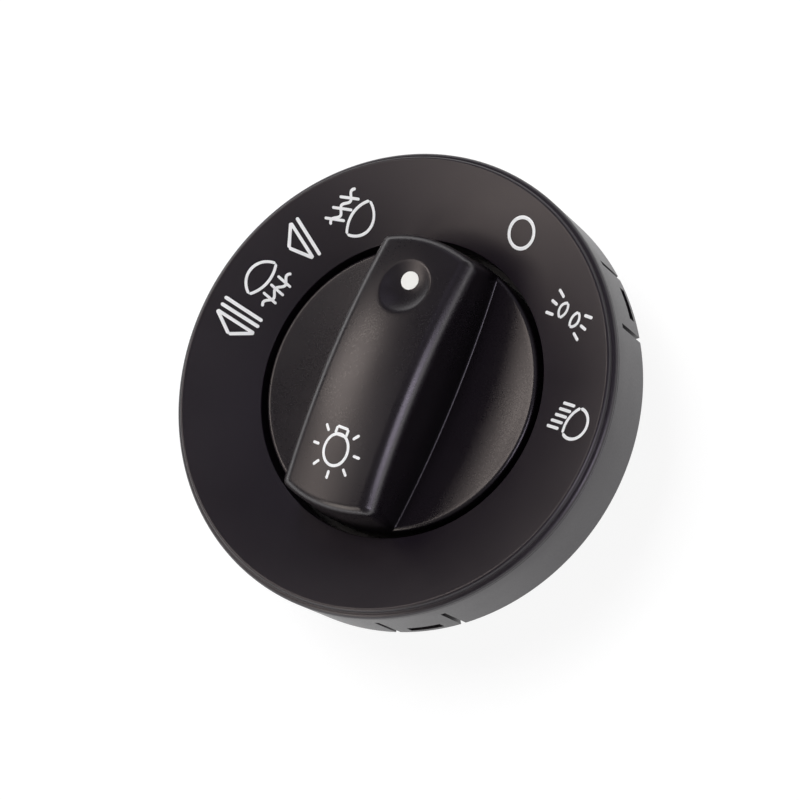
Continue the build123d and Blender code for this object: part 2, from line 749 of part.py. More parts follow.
# The grip's ends go on from the disc's edge and lean in above it
edge_foot = disc_z - knob_edge_round
end_lean = (handle_top - edge_foot) * tan(radians(handle_end_draft))
with BuildPart() as grip_ends:
    with BuildSketch(Plane.XZ):
        Polygon(
            (0, grip_foot),
            (handle_end_r, grip_foot),
            (handle_end_r, edge_foot),
            (handle_end_r - end_lean, handle_top),
            (0, handle_top),
            align=None,
        )
    revolve(axis=Axis.Z)

with BuildPart() as grip:
    with BuildSketch(handle_plane.offset(grip_foot)):
        Rectangle(2 * handle_half_width, 3 * handle_end_r)
    extrude(amount=handle_top - grip_foot + 1, taper=handle_draft)
    add(grip_ends.part, mode=Mode.INTERSECT)
    add(arched_block(handle_half_width + 1, 0), mode=Mode.INTERSECT)
    fillet(grip.faces().sort_by(Axis.Z)[-1].edges(), radius=handle_round)
    # Finger dimple, with the hole for the light dot in its middle
    with BuildSketch(dimple_plane):
        with BuildLine():
            dimple_arc = CenterArc((0, dimple_floor + dimple_ball_r), dimple_ball_r, -90 + dot_turn, 45)
            Polyline(
                dimple_arc @ 1, (0, (dimple_arc @ 1).Y), (0, grip_foot - 1), (dot_hole_r, grip_foot - 1),
                dimple_arc @ 0,
            )
        make_face()
    revolve(
        axis=Axis(handle_plane.from_local_coords(Vector(0, dimple_at, 0)), (0, 0, 1)),
        mode=Mode.SUBTRACT,
    )

cavity_foot = knob_bottom + knob_web
with BuildPart() as cavity:
    with BuildSketch(handle_plane.offset(cavity_foot)):
        Circle(handle_end_r - handle_wall - handle_wall_play)
        Rectangle(2 * cavity_half_width, 3 * handle_end_r, mode=Mode.INTERSECT)
    extrude(amount=roof_z - cavity_foot)

# Knob: the disc with its skirt, the grip, and the boss inside
disc_inner_r = knob_r - knob_skirt
with BuildPart() as knob:
    with BuildSketch(Plane.XZ):
        with BuildLine():
            Polyline(
                (0, cavity_foot), (disc_inner_r, cavity_foot), (disc_inner_r, knob_bottom),
                (knob_r, knob_bottom), (knob_r, disc_z),
            )
            ThreePointArc(
                (knob_r, disc_z), (knob_r / 2, scoop_height(knob_r / 2)), (0, scoop_height(0)),
            )
            Line((0, scoop_height(0)), (0, cavity_foot))
        make_face()
    revolve(axis=Axis.Z)
    fillet(knob.edges().filter_by(GeomType.CIRCLE).group_by(Axis.Z)[-1], radius=knob_edge_round)
    add(grip.part)
    add(cavity.part, mode=Mode.SUBTRACT)
    # Boss that takes the shaft
    with BuildSketch(Plane.XY.offset(knob_bottom)):
        Circle(boss_r)
    extrude(amount=roof_z - knob_bottom)
    with BuildSketch(handle_plane.offset(knob_bottom)):
        d_section(0.02)
    extrude(amount=shaft_top - knob_bottom, mode=Mode.SUBTRACT)
knob.part.label = "knob"
export_step(knob.part, "parts/knob.step")

# Light guide in the knob: a milky slab with a post up to the dot and one under the bulb mark
guide_bottom = cavity_foot + guide_lift
with BuildPart() as knob_light_guide:
    with BuildSketch(handle_plane.offset(guide_bottom)):
        Circle(guide_slab_r)
        Rectangle(2 * guide_half_width, 2 * guide_slab_r, mode=Mode.INTERSECT)
        Circle(boss_r + guide_clearance, mode=Mode.SUBTRACT)
    extrude(amount=guide_thickness)
    with BuildSketch(handle_plane.offset(guide_bottom)):
        with Locations((0, bulb_at)):
            Circle(guide_slab_r + bulb_at)
        Circle(boss_r + guide_clearance, mode=Mode.SUBTRACT)
    extrude(amount=roof_z - guide_bottom)
    with BuildSketch(handle_plane.offset(guide_bottom)):
        with Locations((0, dimple_at)):
            Circle(dot_d / 2)
    extrude(amount=dimple_floor + dot_proud - guide_bottom)
knob_light_guide.part.label = "knob_light_guide"
export_step(knob_light_guide.part, "parts/knob_light_guide.step")

# Contact plate: moulded disc across the barrel, with a hole for the rotor's hub
with BuildPart() as contact_plate:
    with BuildSketch(Plane.XY.offset(plate_bottom)):
        Circle(plate_r)
        Circle(hub_r + clear, mode=Mode.SUBTRACT)
    extrude(amount=plate_thickness)
contact_plate.part.label = "contact_plate"
export_step(contact_plate.part, "parts/contact_plate.step")

# Contact tracks: open copper rings on the plate
with BuildPart() as contact_tracks:
    for index, radius in enumerate(track_radii):
        with BuildSketch(Plane.XY.offset(plate_top)):
            Circle(radius + track_width / 2)
            Circle(radius - track_width / 2, mode=Mode.SUBTRACT)
            with Locations(at_cw(60 + 25 * index, radius)):
                Rectangle(2 * track_width, radius / 2, mode=Mode.SUBTRACT)
        extrude(amount=track_thickness)
contact_tracks.part.label = "contact_tracks"
export_step(contact_tracks.part, "parts/contact_tracks.step")

# Fog contacts: two pads under the plate
with BuildPart() as fog_contacts:
    with BuildSketch(Plane.XY.offset(plate_bottom)):
        with Locations((0, bridge_y)):
            with GridLocations(bridge_length - fog_pad, 0, 2, 1):
                Rectangle(fog_pad, fog_pad)
    extrude(amount=-fog_pad_thickness)
fog_contacts.part.label = "fog_contacts"
export_step(fog_contacts.part, "parts/fog_contacts.step")

# Fog slider: lifted by the shaft's tail, kept from turning by the cover's rail
slider_bottom = clip_groove_z + clip_thickness + 0.05 + slider_play
with BuildPart() as fog_slider:
    with BuildSketch(Plane.XY.offset(slider_bottom)):
        with Locations((0, slider_back)):
            Rectangle(
                2 * slider_half_width, slider_front - slider_back, align=(Align.CENTER, Align.MIN),
            )
        Circle(tail_r + running, mode=Mode.SUBTRACT)
        with Locations((0, rail_front - clear)):
            Rectangle(
                2 * (rail_half_width + 0.15), slider_front, align=(Align.CENTER, Align.MIN),
                mode=Mode.SUBTRACT,
            )
    extrude(amount=bridge_bottom - slider_bottom)
fog_slider.part.label = "fog_slider"
export_step(fog_slider.part, "parts/fog_slider.step")

# Contact bridge on the slider
with BuildPart() as fog_bridge:
    with BuildSketch(Plane.XY.offset(bridge_bottom)):
        with Locations((0, bridge_y)):
            Rectangle(bridge_length, bridge_width)
    extrude(amount=bridge_thickness)
fog_bridge.part.label = "fog_bridge"
export_step(fog_bridge.part, "parts/fog_bridge.step")

# Terminals: flat blades that hang from the contact plate into the connector
with BuildPart() as terminals:
    with BuildSketch(Plane.XY.offset(blade_tip)):
        with Locations((0, connector_centre_y)):
            with GridLocations(blade_pitch_x, blade_pitch_y, blade_columns, 2):
                Rectangle(blade_width, blade_thickness)
    extrude(amount=plate_bottom - blade_tip)
    chamfer(terminals.faces().group_by(Axis.Z)[0].edges().filter_by(Axis.X), length=blade_thickness * 0.3)
terminals.part.label = "terminals"
export_step(terminals.part, "parts/terminals.step")

# Rear cover: cup with a seating flange, connector shroud, slider rail and snaps
cover_plug_r = barrel_inner_r - 0.1
with BuildPart() as rear_cover:
    with BuildSketch(Plane.XZ):
        Polygon(
            (0, 0),
            (cover_r, 0),
            (cover_r, cover_flange_bottom),
            (cover_flange_r, cover_flange_bottom),
            (cover_flange_r, barrel_bottom),
            (cover_plug_r, barrel_bottom),
            (cover_plug_r, plate_bottom),
            (cover_plug_r - cover_wall, plate_bottom),
            (cover_plug_r - cover_wall, cover_floor),
            (0, cover_floor),
            align=None,
        )
    revolve(axis=Axis.Z)
    # Shroud round the connector cavity
    with BuildSketch(Plane.XY.offset(cover_floor)):
        with Locations((0, connector_centre_y)):
            Rectangle(connector_x + 2 * connector_wall, connector_y + 2 * connector_wall)
        Circle(cover_plug_r, mode=Mode.INTERSECT)
    extrude(amount=connector_depth + connector_wall - cover_floor)
    with BuildSketch():
        with Locations((0, connector_centre_y)):
            Rectangle(connector_x, connector_y)
    extrude(amount=connector_depth, mode=Mode.SUBTRACT)
    # Slits that the blades pass
    with BuildSketch(Plane.XY.offset(connector_depth)):
        with Locations((0, connector_centre_y)):
            with GridLocations(blade_pitch_x, blade_pitch_y, blade_columns, 2):
                Rectangle(blade_width + 0.1, blade_thickness + 0.1)
    extrude(amount=connector_wall, mode=Mode.SUBTRACT)
    # Rail for the fog slider
    with BuildSketch(Plane.XY.offset(cover_floor)):
        with Locations((0, rail_front)):
            Rectangle(
                2 * rail_half_width, cover_plug_r - cover_wall / 2 - rail_front,
                align=(Align.CENTER, Align.MIN),
            )
    extrude(amount=plate_bottom - clear - cover_floor)
    # Snaps for the barrel's windows
    for angle in snap_angles_cw:
        with Locations(at_cw(angle, cover_plug_r - 0.3, barrel_bottom + snap_drop)):
            Box(snap_reach + 0.3, snap_width, snap_height, align=(Align.MIN, Align.CENTER, Align.MIN))
rear_cover.part.label = "rear_cover"
export_step(rear_cover.part, "parts/rear_cover.step")
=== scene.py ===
"""Rotary headlight switch: fine surfaces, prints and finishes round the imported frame.

Sizes in the classes are millimetres in the frame's own axes: Z is the knob's axis and points at the
driver, Z = 0 is the flat back, +Y runs from the axis to the "off" ring. Angles whose names end in
cw are clockwise from +Y as the driver sees them. Meshes are written in metres.
"""
import json
import logging
from dataclasses import dataclass, field
from enum import Enum, auto
from functools import cache
from math import asin, atan2, cos, pi, radians, sin, sqrt, tan
from typing import Callable

import bmesh
import bpy
import numpy as np
from bpy.types import ID, Material, Node, NodeSocket, NodeTree, Object
from mathutils import Matrix, Vector


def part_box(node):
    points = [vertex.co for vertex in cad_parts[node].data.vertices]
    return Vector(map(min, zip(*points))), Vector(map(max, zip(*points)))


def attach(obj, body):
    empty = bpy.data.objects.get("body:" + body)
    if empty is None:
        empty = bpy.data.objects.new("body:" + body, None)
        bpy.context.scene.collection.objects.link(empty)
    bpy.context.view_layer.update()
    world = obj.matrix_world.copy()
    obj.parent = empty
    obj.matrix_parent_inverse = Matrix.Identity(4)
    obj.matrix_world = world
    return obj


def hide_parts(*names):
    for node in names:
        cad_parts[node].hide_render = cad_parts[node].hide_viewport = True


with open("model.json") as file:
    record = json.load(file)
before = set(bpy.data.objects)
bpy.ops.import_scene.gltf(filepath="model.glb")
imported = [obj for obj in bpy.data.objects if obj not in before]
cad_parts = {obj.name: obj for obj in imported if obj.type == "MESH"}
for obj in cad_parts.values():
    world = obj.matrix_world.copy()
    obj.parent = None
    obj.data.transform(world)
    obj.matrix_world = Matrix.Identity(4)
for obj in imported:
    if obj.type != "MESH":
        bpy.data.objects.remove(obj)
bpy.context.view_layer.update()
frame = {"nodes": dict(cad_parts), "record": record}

MM = 0.001
LOG = logging.getLogger("headlight_switch")

Array = np.ndarray
Height = Callable[[Array, Array], Array]
Pair = tuple[float, float]
Triple = tuple[float, float, float]


# Colours and shader nodes


def linear(hex_colour: str) -> tuple[float, float, float, float]:
    """Turn an sRGB hex colour into linear values.

    Args:
        hex_colour: A colour such as "#1f1c1f".

    Returns:
        Linear red, green and blue, and an alpha of 1.
    """
    srgb = np.array([int(hex_colour[k:k + 2], 16) for k in (1, 3, 5)]) / 255
    values = np.where(srgb <= 0.04045, srgb / 12.92, ((srgb + 0.055) / 1.055) ** 2.4)
    return (*(float(v) for v in values), 1.0)


def add_node(
    tree: NodeTree, kind: str, inputs: dict[str | int, object] | None = None, **settings: object
) -> Node:
    """Add a shader node with its settings, values and links.

    Args:
        tree: The node tree that gets the node.
        kind: The node's type, without its "ShaderNode" start.
        inputs: For each input's name or number, an output socket to link or a value to set.
        **settings: Properties of the node itself.

    Returns:
        The new node.
    """
    node = tree.nodes.new("ShaderNode" + kind)
    for key, value in settings.items():
        setattr(node, key, value)
    for key, value in (inputs or {}).items():
        if isinstance(value, NodeSocket):
            tree.links.new(value, node.inputs[key])
        else:
            node.inputs[key].default_value = value
    return node


def new_material(name: str) -> tuple[Material, NodeTree, NodeSocket]:
    """Make an empty node material.

    Args:
        name: The finish's name.

    Returns:
        The material, its node tree and the surface input of its output node.
    """
    material = bpy.data.materials.new(name)
    material.use_nodes = True
    tree = material.node_tree
    tree.nodes.clear()
    return material, tree, add_node(tree, "OutputMaterial").inputs["Surface"]


def new_object(name: str, data: ID) -> Object:
    """Make an object and link it to the scene.

    Args:
        name: Its name.
        data: Its mesh, lamp or camera.

    Returns:
        The new object.
    """
    made = bpy.data.objects.new(name, data)
    bpy.context.scene.collection.objects.link(made)
    return made


def per_metre(size_mm: float) -> float:
    """Return the texture scale whose features are about size_mm across."""
    return 1 / (size_mm * MM)


# Finishes


@dataclass(frozen=True)
class MouldedPlastic:
    """Injection-moulded plastic out of a spark-eroded mould.

    The grain scatters reflections into a satin sheen, and the melt leaves faint clouds of gloss.
    The grain is drawn a little coarser than the real 0.1 mm, so that it shows.
    """

    name: str
    colour: str
    cloud_colour: str
    roughness: float
    roughness_spread: float = 0.05
    grain_mm: float = 0.3
    grain_depth_mm: float = 0.007
    cloud_mm: float = 14.0
    noise_detail: float = 2.5
    noise_roughness: float = 0.55
    noise_range: Pair = (0.7, 1.3)
    ior: float = 1.5
    gloss_colour: str = "#fffbfe"

    def build(self) -> Material:
        """Build the material: grain as bump, clouds as colour and roughness.

        Returns:
            The material.
        """
        material, tree, surface = new_material(self.name)
        place = add_node(tree, "TexCoord").outputs["Object"]
        clouds, grain = (
            add_node(
                tree, "TexNoise",
                {
                    "Vector": place, "Scale": per_metre(size), "Detail": self.noise_detail,
                    "Roughness": self.noise_roughness,
                },
            ).outputs["Fac"]
            for size in (self.cloud_mm, self.grain_mm)
        )
        colour = add_node(
            tree, "Mix", {0: clouds, 6: linear(self.colour), 7: linear(self.cloud_colour)},
            data_type="RGBA",
        ).outputs[2]
        both = add_node(tree, "Math", {0: clouds, 1: grain}, operation="ADD").outputs[0]
        low, high = self.noise_range
        rough = add_node(
            tree, "MapRange",
            {
                "Value": both, "From Min": low, "From Max": high,
                "To Min": self.roughness - self.roughness_spread,
                "To Max": self.roughness + self.roughness_spread,
            },
        ).outputs[0]
        depth = self.grain_depth_mm * MM
        bump = add_node(tree, "Bump", {"Height": grain, "Distance": depth}).outputs[0]
        shader = add_node(
            tree, "BsdfPrincipled",
            {
                "Base Color": colour, "Roughness": rough, "Normal": bump, "IOR": self.ior,
                "Specular Tint": linear(self.gloss_colour),
            },
        )
        tree.links.new(shader.outputs[0], surface)
        return material


@dataclass(frozen=True)
class ClearPlastic:
    """Acrylic out of a polished mould: smooth, and light passes through it."""

    name: str
    colour: str
    transmission: float
    roughness: float
    haze_mm: float = 5.0
    haze_range: Pair = (0.7, 1.3)
    ior: float = 1.49

    def build(self) -> Material:
        """Build the material, with a faint haze in its gloss.

        Returns:
            The material.
        """
        material, tree, surface = new_material(self.name)
        place = add_node(tree, "TexCoord").outputs["Object"]
        scale = per_metre(self.haze_mm)
        haze = add_node(tree, "TexNoise", {"Vector": place, "Scale": scale}).outputs["Fac"]
        low, high = (self.roughness * share for share in self.haze_range)
        rough = add_node(
            tree, "MapRange", {"Value": haze, "To Min": low, "To Max": high}
        ).outputs[0]
        shader = add_node(
            tree, "BsdfPrincipled",
            {
                "Base Color": linear(self.colour), "Roughness": rough, "IOR": self.ior,
                "Transmission Weight": self.transmission,
            },
        )
        tree.links.new(shader.outputs[0], surface)
        return material


@dataclass(frozen=True)
class StampedMetal:
    """Rolled strip or drawn wire, stamped or bent: fine lines run along the rolling direction."""

    name: str
    colour: str
    stain_colour: str
    roughness: float
    line_mm: float = 0.12
    line_depth_mm: float = 0.003
    line_range: Pair = (0.7, 1.3)
    stretch: float = 12.0
    stain_mm: float = 3.0
    stain_detail: float = 3.0

    def build(self) -> Material:
        """Build the material: lines stretched along X in roughness and bump, stains in colour.

        Returns:
            The material.
        """
        material, tree, surface = new_material(self.name)
        place = add_node(tree, "TexCoord").outputs["Object"]
        stretched = add_node(
            tree, "Mapping", {"Vector": place, "Scale": (1 / self.stretch, 1.0, 1.0)}
        ).outputs[0]
        lines = add_node(
            tree, "TexNoise", {"Vector": stretched, "Scale": per_metre(self.line_mm)}
        ).outputs["Fac"]
        stains = add_node(
            tree, "TexNoise",
            {"Vector": place, "Scale": per_metre(self.stain_mm), "Detail": self.stain_detail},
        ).outputs["Fac"]
        colour = add_node(
            tree, "Mix", {0: stains, 6: linear(self.colour), 7: linear(self.stain_colour)},
            data_type="RGBA",
        ).outputs[2]
        low, high = (self.roughness * share for share in self.line_range)
        rough = add_node(
            tree, "MapRange", {"Value": lines, "To Min": low, "To Max": high}
        ).outputs[0]
        depth = self.line_depth_mm * MM
        bump = add_node(tree, "Bump", {"Height": lines, "Distance": depth}).outputs[0]
        shader = add_node(
            tree, "BsdfPrincipled",
            {"Base Color": colour, "Roughness": rough, "Normal": bump, "Metallic": 1.0},
        )
        tree.links.new(shader.outputs[0], surface)
        return material


class Slot(Enum):
    """The record's material slots, each with its finish."""

    # Black ABS/PC of the bezel: satin, a breath of purple in the shade and warm in the light
    bezel_black = MouldedPlastic("bezel_grained_abs", "#130e15", "#171219", 0.36)
    # The knob's black is a touch smoother from fingers
    knob_black = MouldedPlastic("knob_satin_abs", "#100c11", "#141015", 0.3)
    # Glass-filled PBT of the housing: blacker, with a duller, coarser skin
    housing_black = MouldedPlastic("housing_filled_pbt", "#1b1b1b", "#242424", 0.55, grain_mm=0.5)
    cover_black = MouldedPlastic("cover_filled_pbt", "#1d1d1e", "#262627", 0.58, grain_mm=0.5)
    # White opal plastic that fills the marks, flush with the skin
    mark_white = MouldedPlastic(
        "mark_white_pc", "#f4f4f6", "#eeeef0", 0.5, grain_mm=0.3, grain_depth_mm=0.002
    )
    # Opal polycarbonate light guide, milky right through
    milky_guide = MouldedPlastic(
        "opal_polycarbonate", "#f4f4f1", "#ecece8", 0.32, grain_mm=0.8, grain_depth_mm=0.001
    )
    # Acrylic: clear, with sharp reflections
    clear_guide = ClearPlastic("polished_acrylic", "#f2f6f6", 0.9, 0.08)
    # Glass-epoxy board under green solder mask, with the weave just showing as clouds
    circuit_board = MouldedPlastic(
        "solder_masked_board", "#1d4a26", "#265c30", 0.3, grain_mm=0.9, cloud_mm=1.2
    )
    # Cast epoxy of the small lamps: pale yellow and glossy
    lamp_body = MouldedPlastic("lamp_resin", "#e6d9a0", "#efe6bd", 0.22, grain_mm=1.0, cloud_mm=1.0)
    # Fired ceramic under a black glaze that shines a little
    resistor_body = MouldedPlastic("chip_ceramic", "#151515", "#222222", 0.35, grain_mm=0.2)
    # Natural acetal runs dry on itself: waxy, off-white
    rotor_plastic = MouldedPlastic("natural_acetal", "#d8d3c4", "#e2decf", 0.38, grain_mm=0.4)
    # Nylon with glass fibres that dull its grey skin
    shaft_plastic = MouldedPlastic("glass_filled_nylon", "#57585a", "#666769", 0.5, grain_mm=0.35)
    # Phenolic: a brownish black with an even, low shine
    plate_plastic = MouldedPlastic("phenolic_moulding", "#26211f", "#332c29", 0.45, grain_mm=0.35)
    # Rolled strip and drawn wire: fine lines stretch the highlights
    contact_copper = StampedMetal("stamped_bronze", "#d8a077", "#c58a63", 0.3)
    terminal_tin = StampedMetal("tinned_brass", "#d9d8d3", "#c9c7c0", 0.33)
    spring_steel = StampedMetal("drawn_spring_wire", "#c4c4c3", "#aeaead", 0.26)


@cache
def finish(slot: Slot) -> Material:
    """Return a slot's material, built at its first use."""
    return slot.value.build()


def dress(piece: Object, slot: Slot) -> None:
    """Put a slot's material on every face of a piece.

    Args:
        piece: The object.
        slot: The record's slot for its finish.
    """
    piece.data.materials.clear()
    piece.data.materials.append(finish(slot))


# Surfaces


@dataclass
class Surface:
    """Points in millimetres and the quads that join them."""

    points: Array
    quads: Array


def grid_quads(rows: int, columns: int, close_rows: bool = False) -> Array:
    """Index the quads of a grid of points, stored row by row, whose last column joins the first.

    Args:
        rows: Number of rows.
        columns: Number of points in a row.
        close_rows: Whether the last row joins the first.

    Returns:
        Four point numbers for each cell, shaped (cells down, cells across, 4).
    """
    row, column = np.meshgrid(
        np.arange(rows if close_rows else rows - 1), np.arange(columns), indexing="ij"
    )
    below, right = (row + 1) % rows, (column + 1) % columns
    return np.stack(
        [
            row * columns + column, below * columns + column,
            below * columns + right, row * columns + right,
        ],
        axis=-1,
    )


def grid_surface(points: Array, close_rows: bool = False) -> Surface:
    """Join a (rows, columns, 3) grid of points into a surface."""
    quads = grid_quads(*points.shape[:2], close_rows)
    return Surface(points.reshape(-1, 3), quads.reshape(-1, 4))


def rounded(corners: list[Triple], arc_points: int = 9) -> Array:
    """Round the corners of a closed outline.

    At a corner with radius r, where the sides leave at half angle h, the arc starts r / tan(h)
    along each side, and its centre lies r / sin(h) along their bisector.

    Args:
        corners: Each corner's two coordinates and its radius.
        arc_points: Points on each arc.

    Returns:
        The outline's points, with a corner of radius 0 repeated.
    """
    data = np.array(corners, float)
    corner, radius = data[:, :2], data[:, 2:]
    before = np.roll(corner, 1, axis=0) - corner
    after = np.roll(corner, -1, axis=0) - corner
    before /= np.linalg.norm(before, axis=1, keepdims=True)
    after /= np.linalg.norm(after, axis=1, keepdims=True)
    half = np.arccos(np.clip((before * after).sum(1, keepdims=True), -1, 1)) / 2
    bisector = before + after
    bisector /= np.linalg.norm(bisector, axis=1, keepdims=True) + 1e-12
    centre = corner + bisector * radius / np.sin(half)
    start = corner + before * radius / np.tan(half) - centre
    end = corner + after * radius / np.tan(half) - centre
    turn = (pi - 2 * half)[:, :, None]
    share = np.linspace(0, 1, arc_points)[None, :, None]
    blend = (
        np.sin((1 - share) * turn) * start[:, None] + np.sin(share * turn) * end[:, None]
    ) / np.sin(turn)
    return (centre[:, None] + blend).reshape(-1, 2)


def ring_turns(steps: int) -> Array:
    """Return evenly spaced angles once round, without the last."""
    return np.arange(steps) * 2 * pi / steps


def swept(profile: Array, turn: Array) -> Array:
    """Turn an (r, z) outline about Z by each angle t: x = r cos t, y = r sin t."""
    r, z = profile[:, :1], profile[:, 1:]
    return np.stack([r * np.cos(turn), r * np.sin(turn), z + 0 * turn], axis=-1)


def arc(x: float, y: float, radius: float, turn: Array) -> Array:
    """Return points of a circle about (x, y) at the given angles."""
    return np.stack([x + radius * np.cos(turn), y + radius * np.sin(turn)], axis=1)


def arc_through(start: Pair, middle: Pair, end: Pair, count: int = 32) -> Array:
    """Walk the circle through three points: its centre is as far from each of them.

    Args:
        start: First point.
        middle: A point on the way.
        end: Last point.
        count: Points to return.

    Returns:
        Points along the arc.
    """
    a, b, c = (np.array(p, float) for p in (start, middle, end))
    centre = np.linalg.solve(2 * np.array([b - a, c - a]), np.array([b @ b - a @ a, c @ c - a @ a]))
    angle = np.unwrap([atan2(*(p - centre)[::-1]) for p in (a, b, c)])
    walk = np.linspace(angle[0], angle[2], count)
    return arc(*centre, np.linalg.norm(a - centre), walk)


# A stroke's section: half widths as shares, and heights above the surface that carries it
PAD_ACROSS = np.array([-1, -1, -0.86, 0, 0.86, 1, 1])
PAD_RISE = np.array([-0.12, 0.004, 0.022, 0.022, 0.022, 0.004, -0.12])


def stroke(path: Array, width: float, height: Height, closed: bool = False) -> Surface:
    """Raise a stroke of white plastic along a path on a curved surface.

    Across the path the section is a low pad with sunk edges. Towards an open end the half width
    falls as a half circle does, w sqrt(1 - (1 - s / w)^2), which rounds the end.

    Args:
        path: Points of the centre line, in plan.
        width: The stroke's full width.
        height: Gives the carrying surface's height at a place.
        closed: Whether the path is a loop.

    Returns:
        The stroke's closed surface.
    """
    if closed:
        tangent = np.roll(path, -1, axis=0) - np.roll(path, 1, axis=0)
        share = np.ones(len(path))
    else:
        tangent = np.gradient(path, axis=0)
        run = np.concatenate([[0], np.cumsum(np.linalg.norm(np.diff(path, axis=0), axis=1))])
        inward = np.clip(np.minimum(run, run[-1] - run) / (width / 2), 0, 1)
        share = np.sqrt(1 - (1 - inward) ** 2)
    tangent /= np.linalg.norm(tangent, axis=1, keepdims=True)
    normal = np.stack([-tangent[:, 1], tangent[:, 0]], axis=1)
    across = PAD_ACROSS * width / 2
    plan = path[:, None] + normal[:, None] * (across[None, :] * share[:, None])[..., None]
    z = height(plan[..., 0], plan[..., 1]) + PAD_RISE[None, :] * share[:, None]
    return grid_surface(np.concatenate([plan, z[..., None]], axis=-1), close_rows=closed)


def straight(start: Pair, end: Pair, end_round: float, end_steps: int = 8) -> Array:
    """Return points on a line, close together near its ends, where a stroke rounds off.

    Args:
        start: First point.
        end: Last point.
        end_round: Length of the close stretch at each end.
        end_steps: Points in each close stretch.

    Returns:
        The points, from start to end.
    """
    length = np.hypot(end[0] - start[0], end[1] - start[1])
    near = end_round * (1 - np.cos(np.linspace(0, pi / 2, end_steps)))
    run = np.concatenate([near, length - near[::-1]]) / length
    return np.array(start) + run[:, None] * (np.array(end) - np.array(start))


# Points closer than this are welded, and edges shorter than this are dropped, in metres
WELD = 2e-7
SHORTEST_EDGE = 1e-8


def write_piece(
    name: str, surfaces: list[Surface], slot: Slot, body: str, stands_for: tuple[str, ...] = (),
    sharp_deg: float = 32.0,
) -> Object:
    """Make one piece of closed surfaces, with seams welded and faces turned outwards.

    Args:
        name: The piece's name.
        surfaces: Its closed surfaces.
        slot: The record's slot for its finish.
        body: The body that it rides on.
        stands_for: CAD nodes that it replaces.
        sharp_deg: Edges that turn by more than this stay sharp.

    Returns:
        The new object, at the origin.
    """
    starts = np.cumsum([0] + [len(s.points) for s in surfaces[:-1]])
    points = np.concatenate([s.points for s in surfaces]) * MM
    quads = np.concatenate([s.quads + start for s, start in zip(surfaces, starts)])
    mesh = bpy.data.meshes.new(name)
    mesh.from_pydata(points.tolist(), [], quads.tolist())
    work = bmesh.new()
    work.from_mesh(mesh)
    bmesh.ops.remove_doubles(work, verts=work.verts, dist=WELD)
    bmesh.ops.dissolve_degenerate(work, edges=work.edges, dist=SHORTEST_EDGE)
    bmesh.ops.recalc_face_normals(work, faces=work.faces)
    work.to_mesh(mesh)
    work.free()
    mesh.shade_smooth()
    mesh.set_sharp_from_angle(angle=radians(sharp_deg))
    piece = new_object(name, mesh)
    dress(piece, slot)
    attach(piece, body)
    if stands_for:
        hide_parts(*stands_for)
    LOG.info("%s: %d faces", name, len(mesh.polygons))
    return piece


# The bezel and its marks


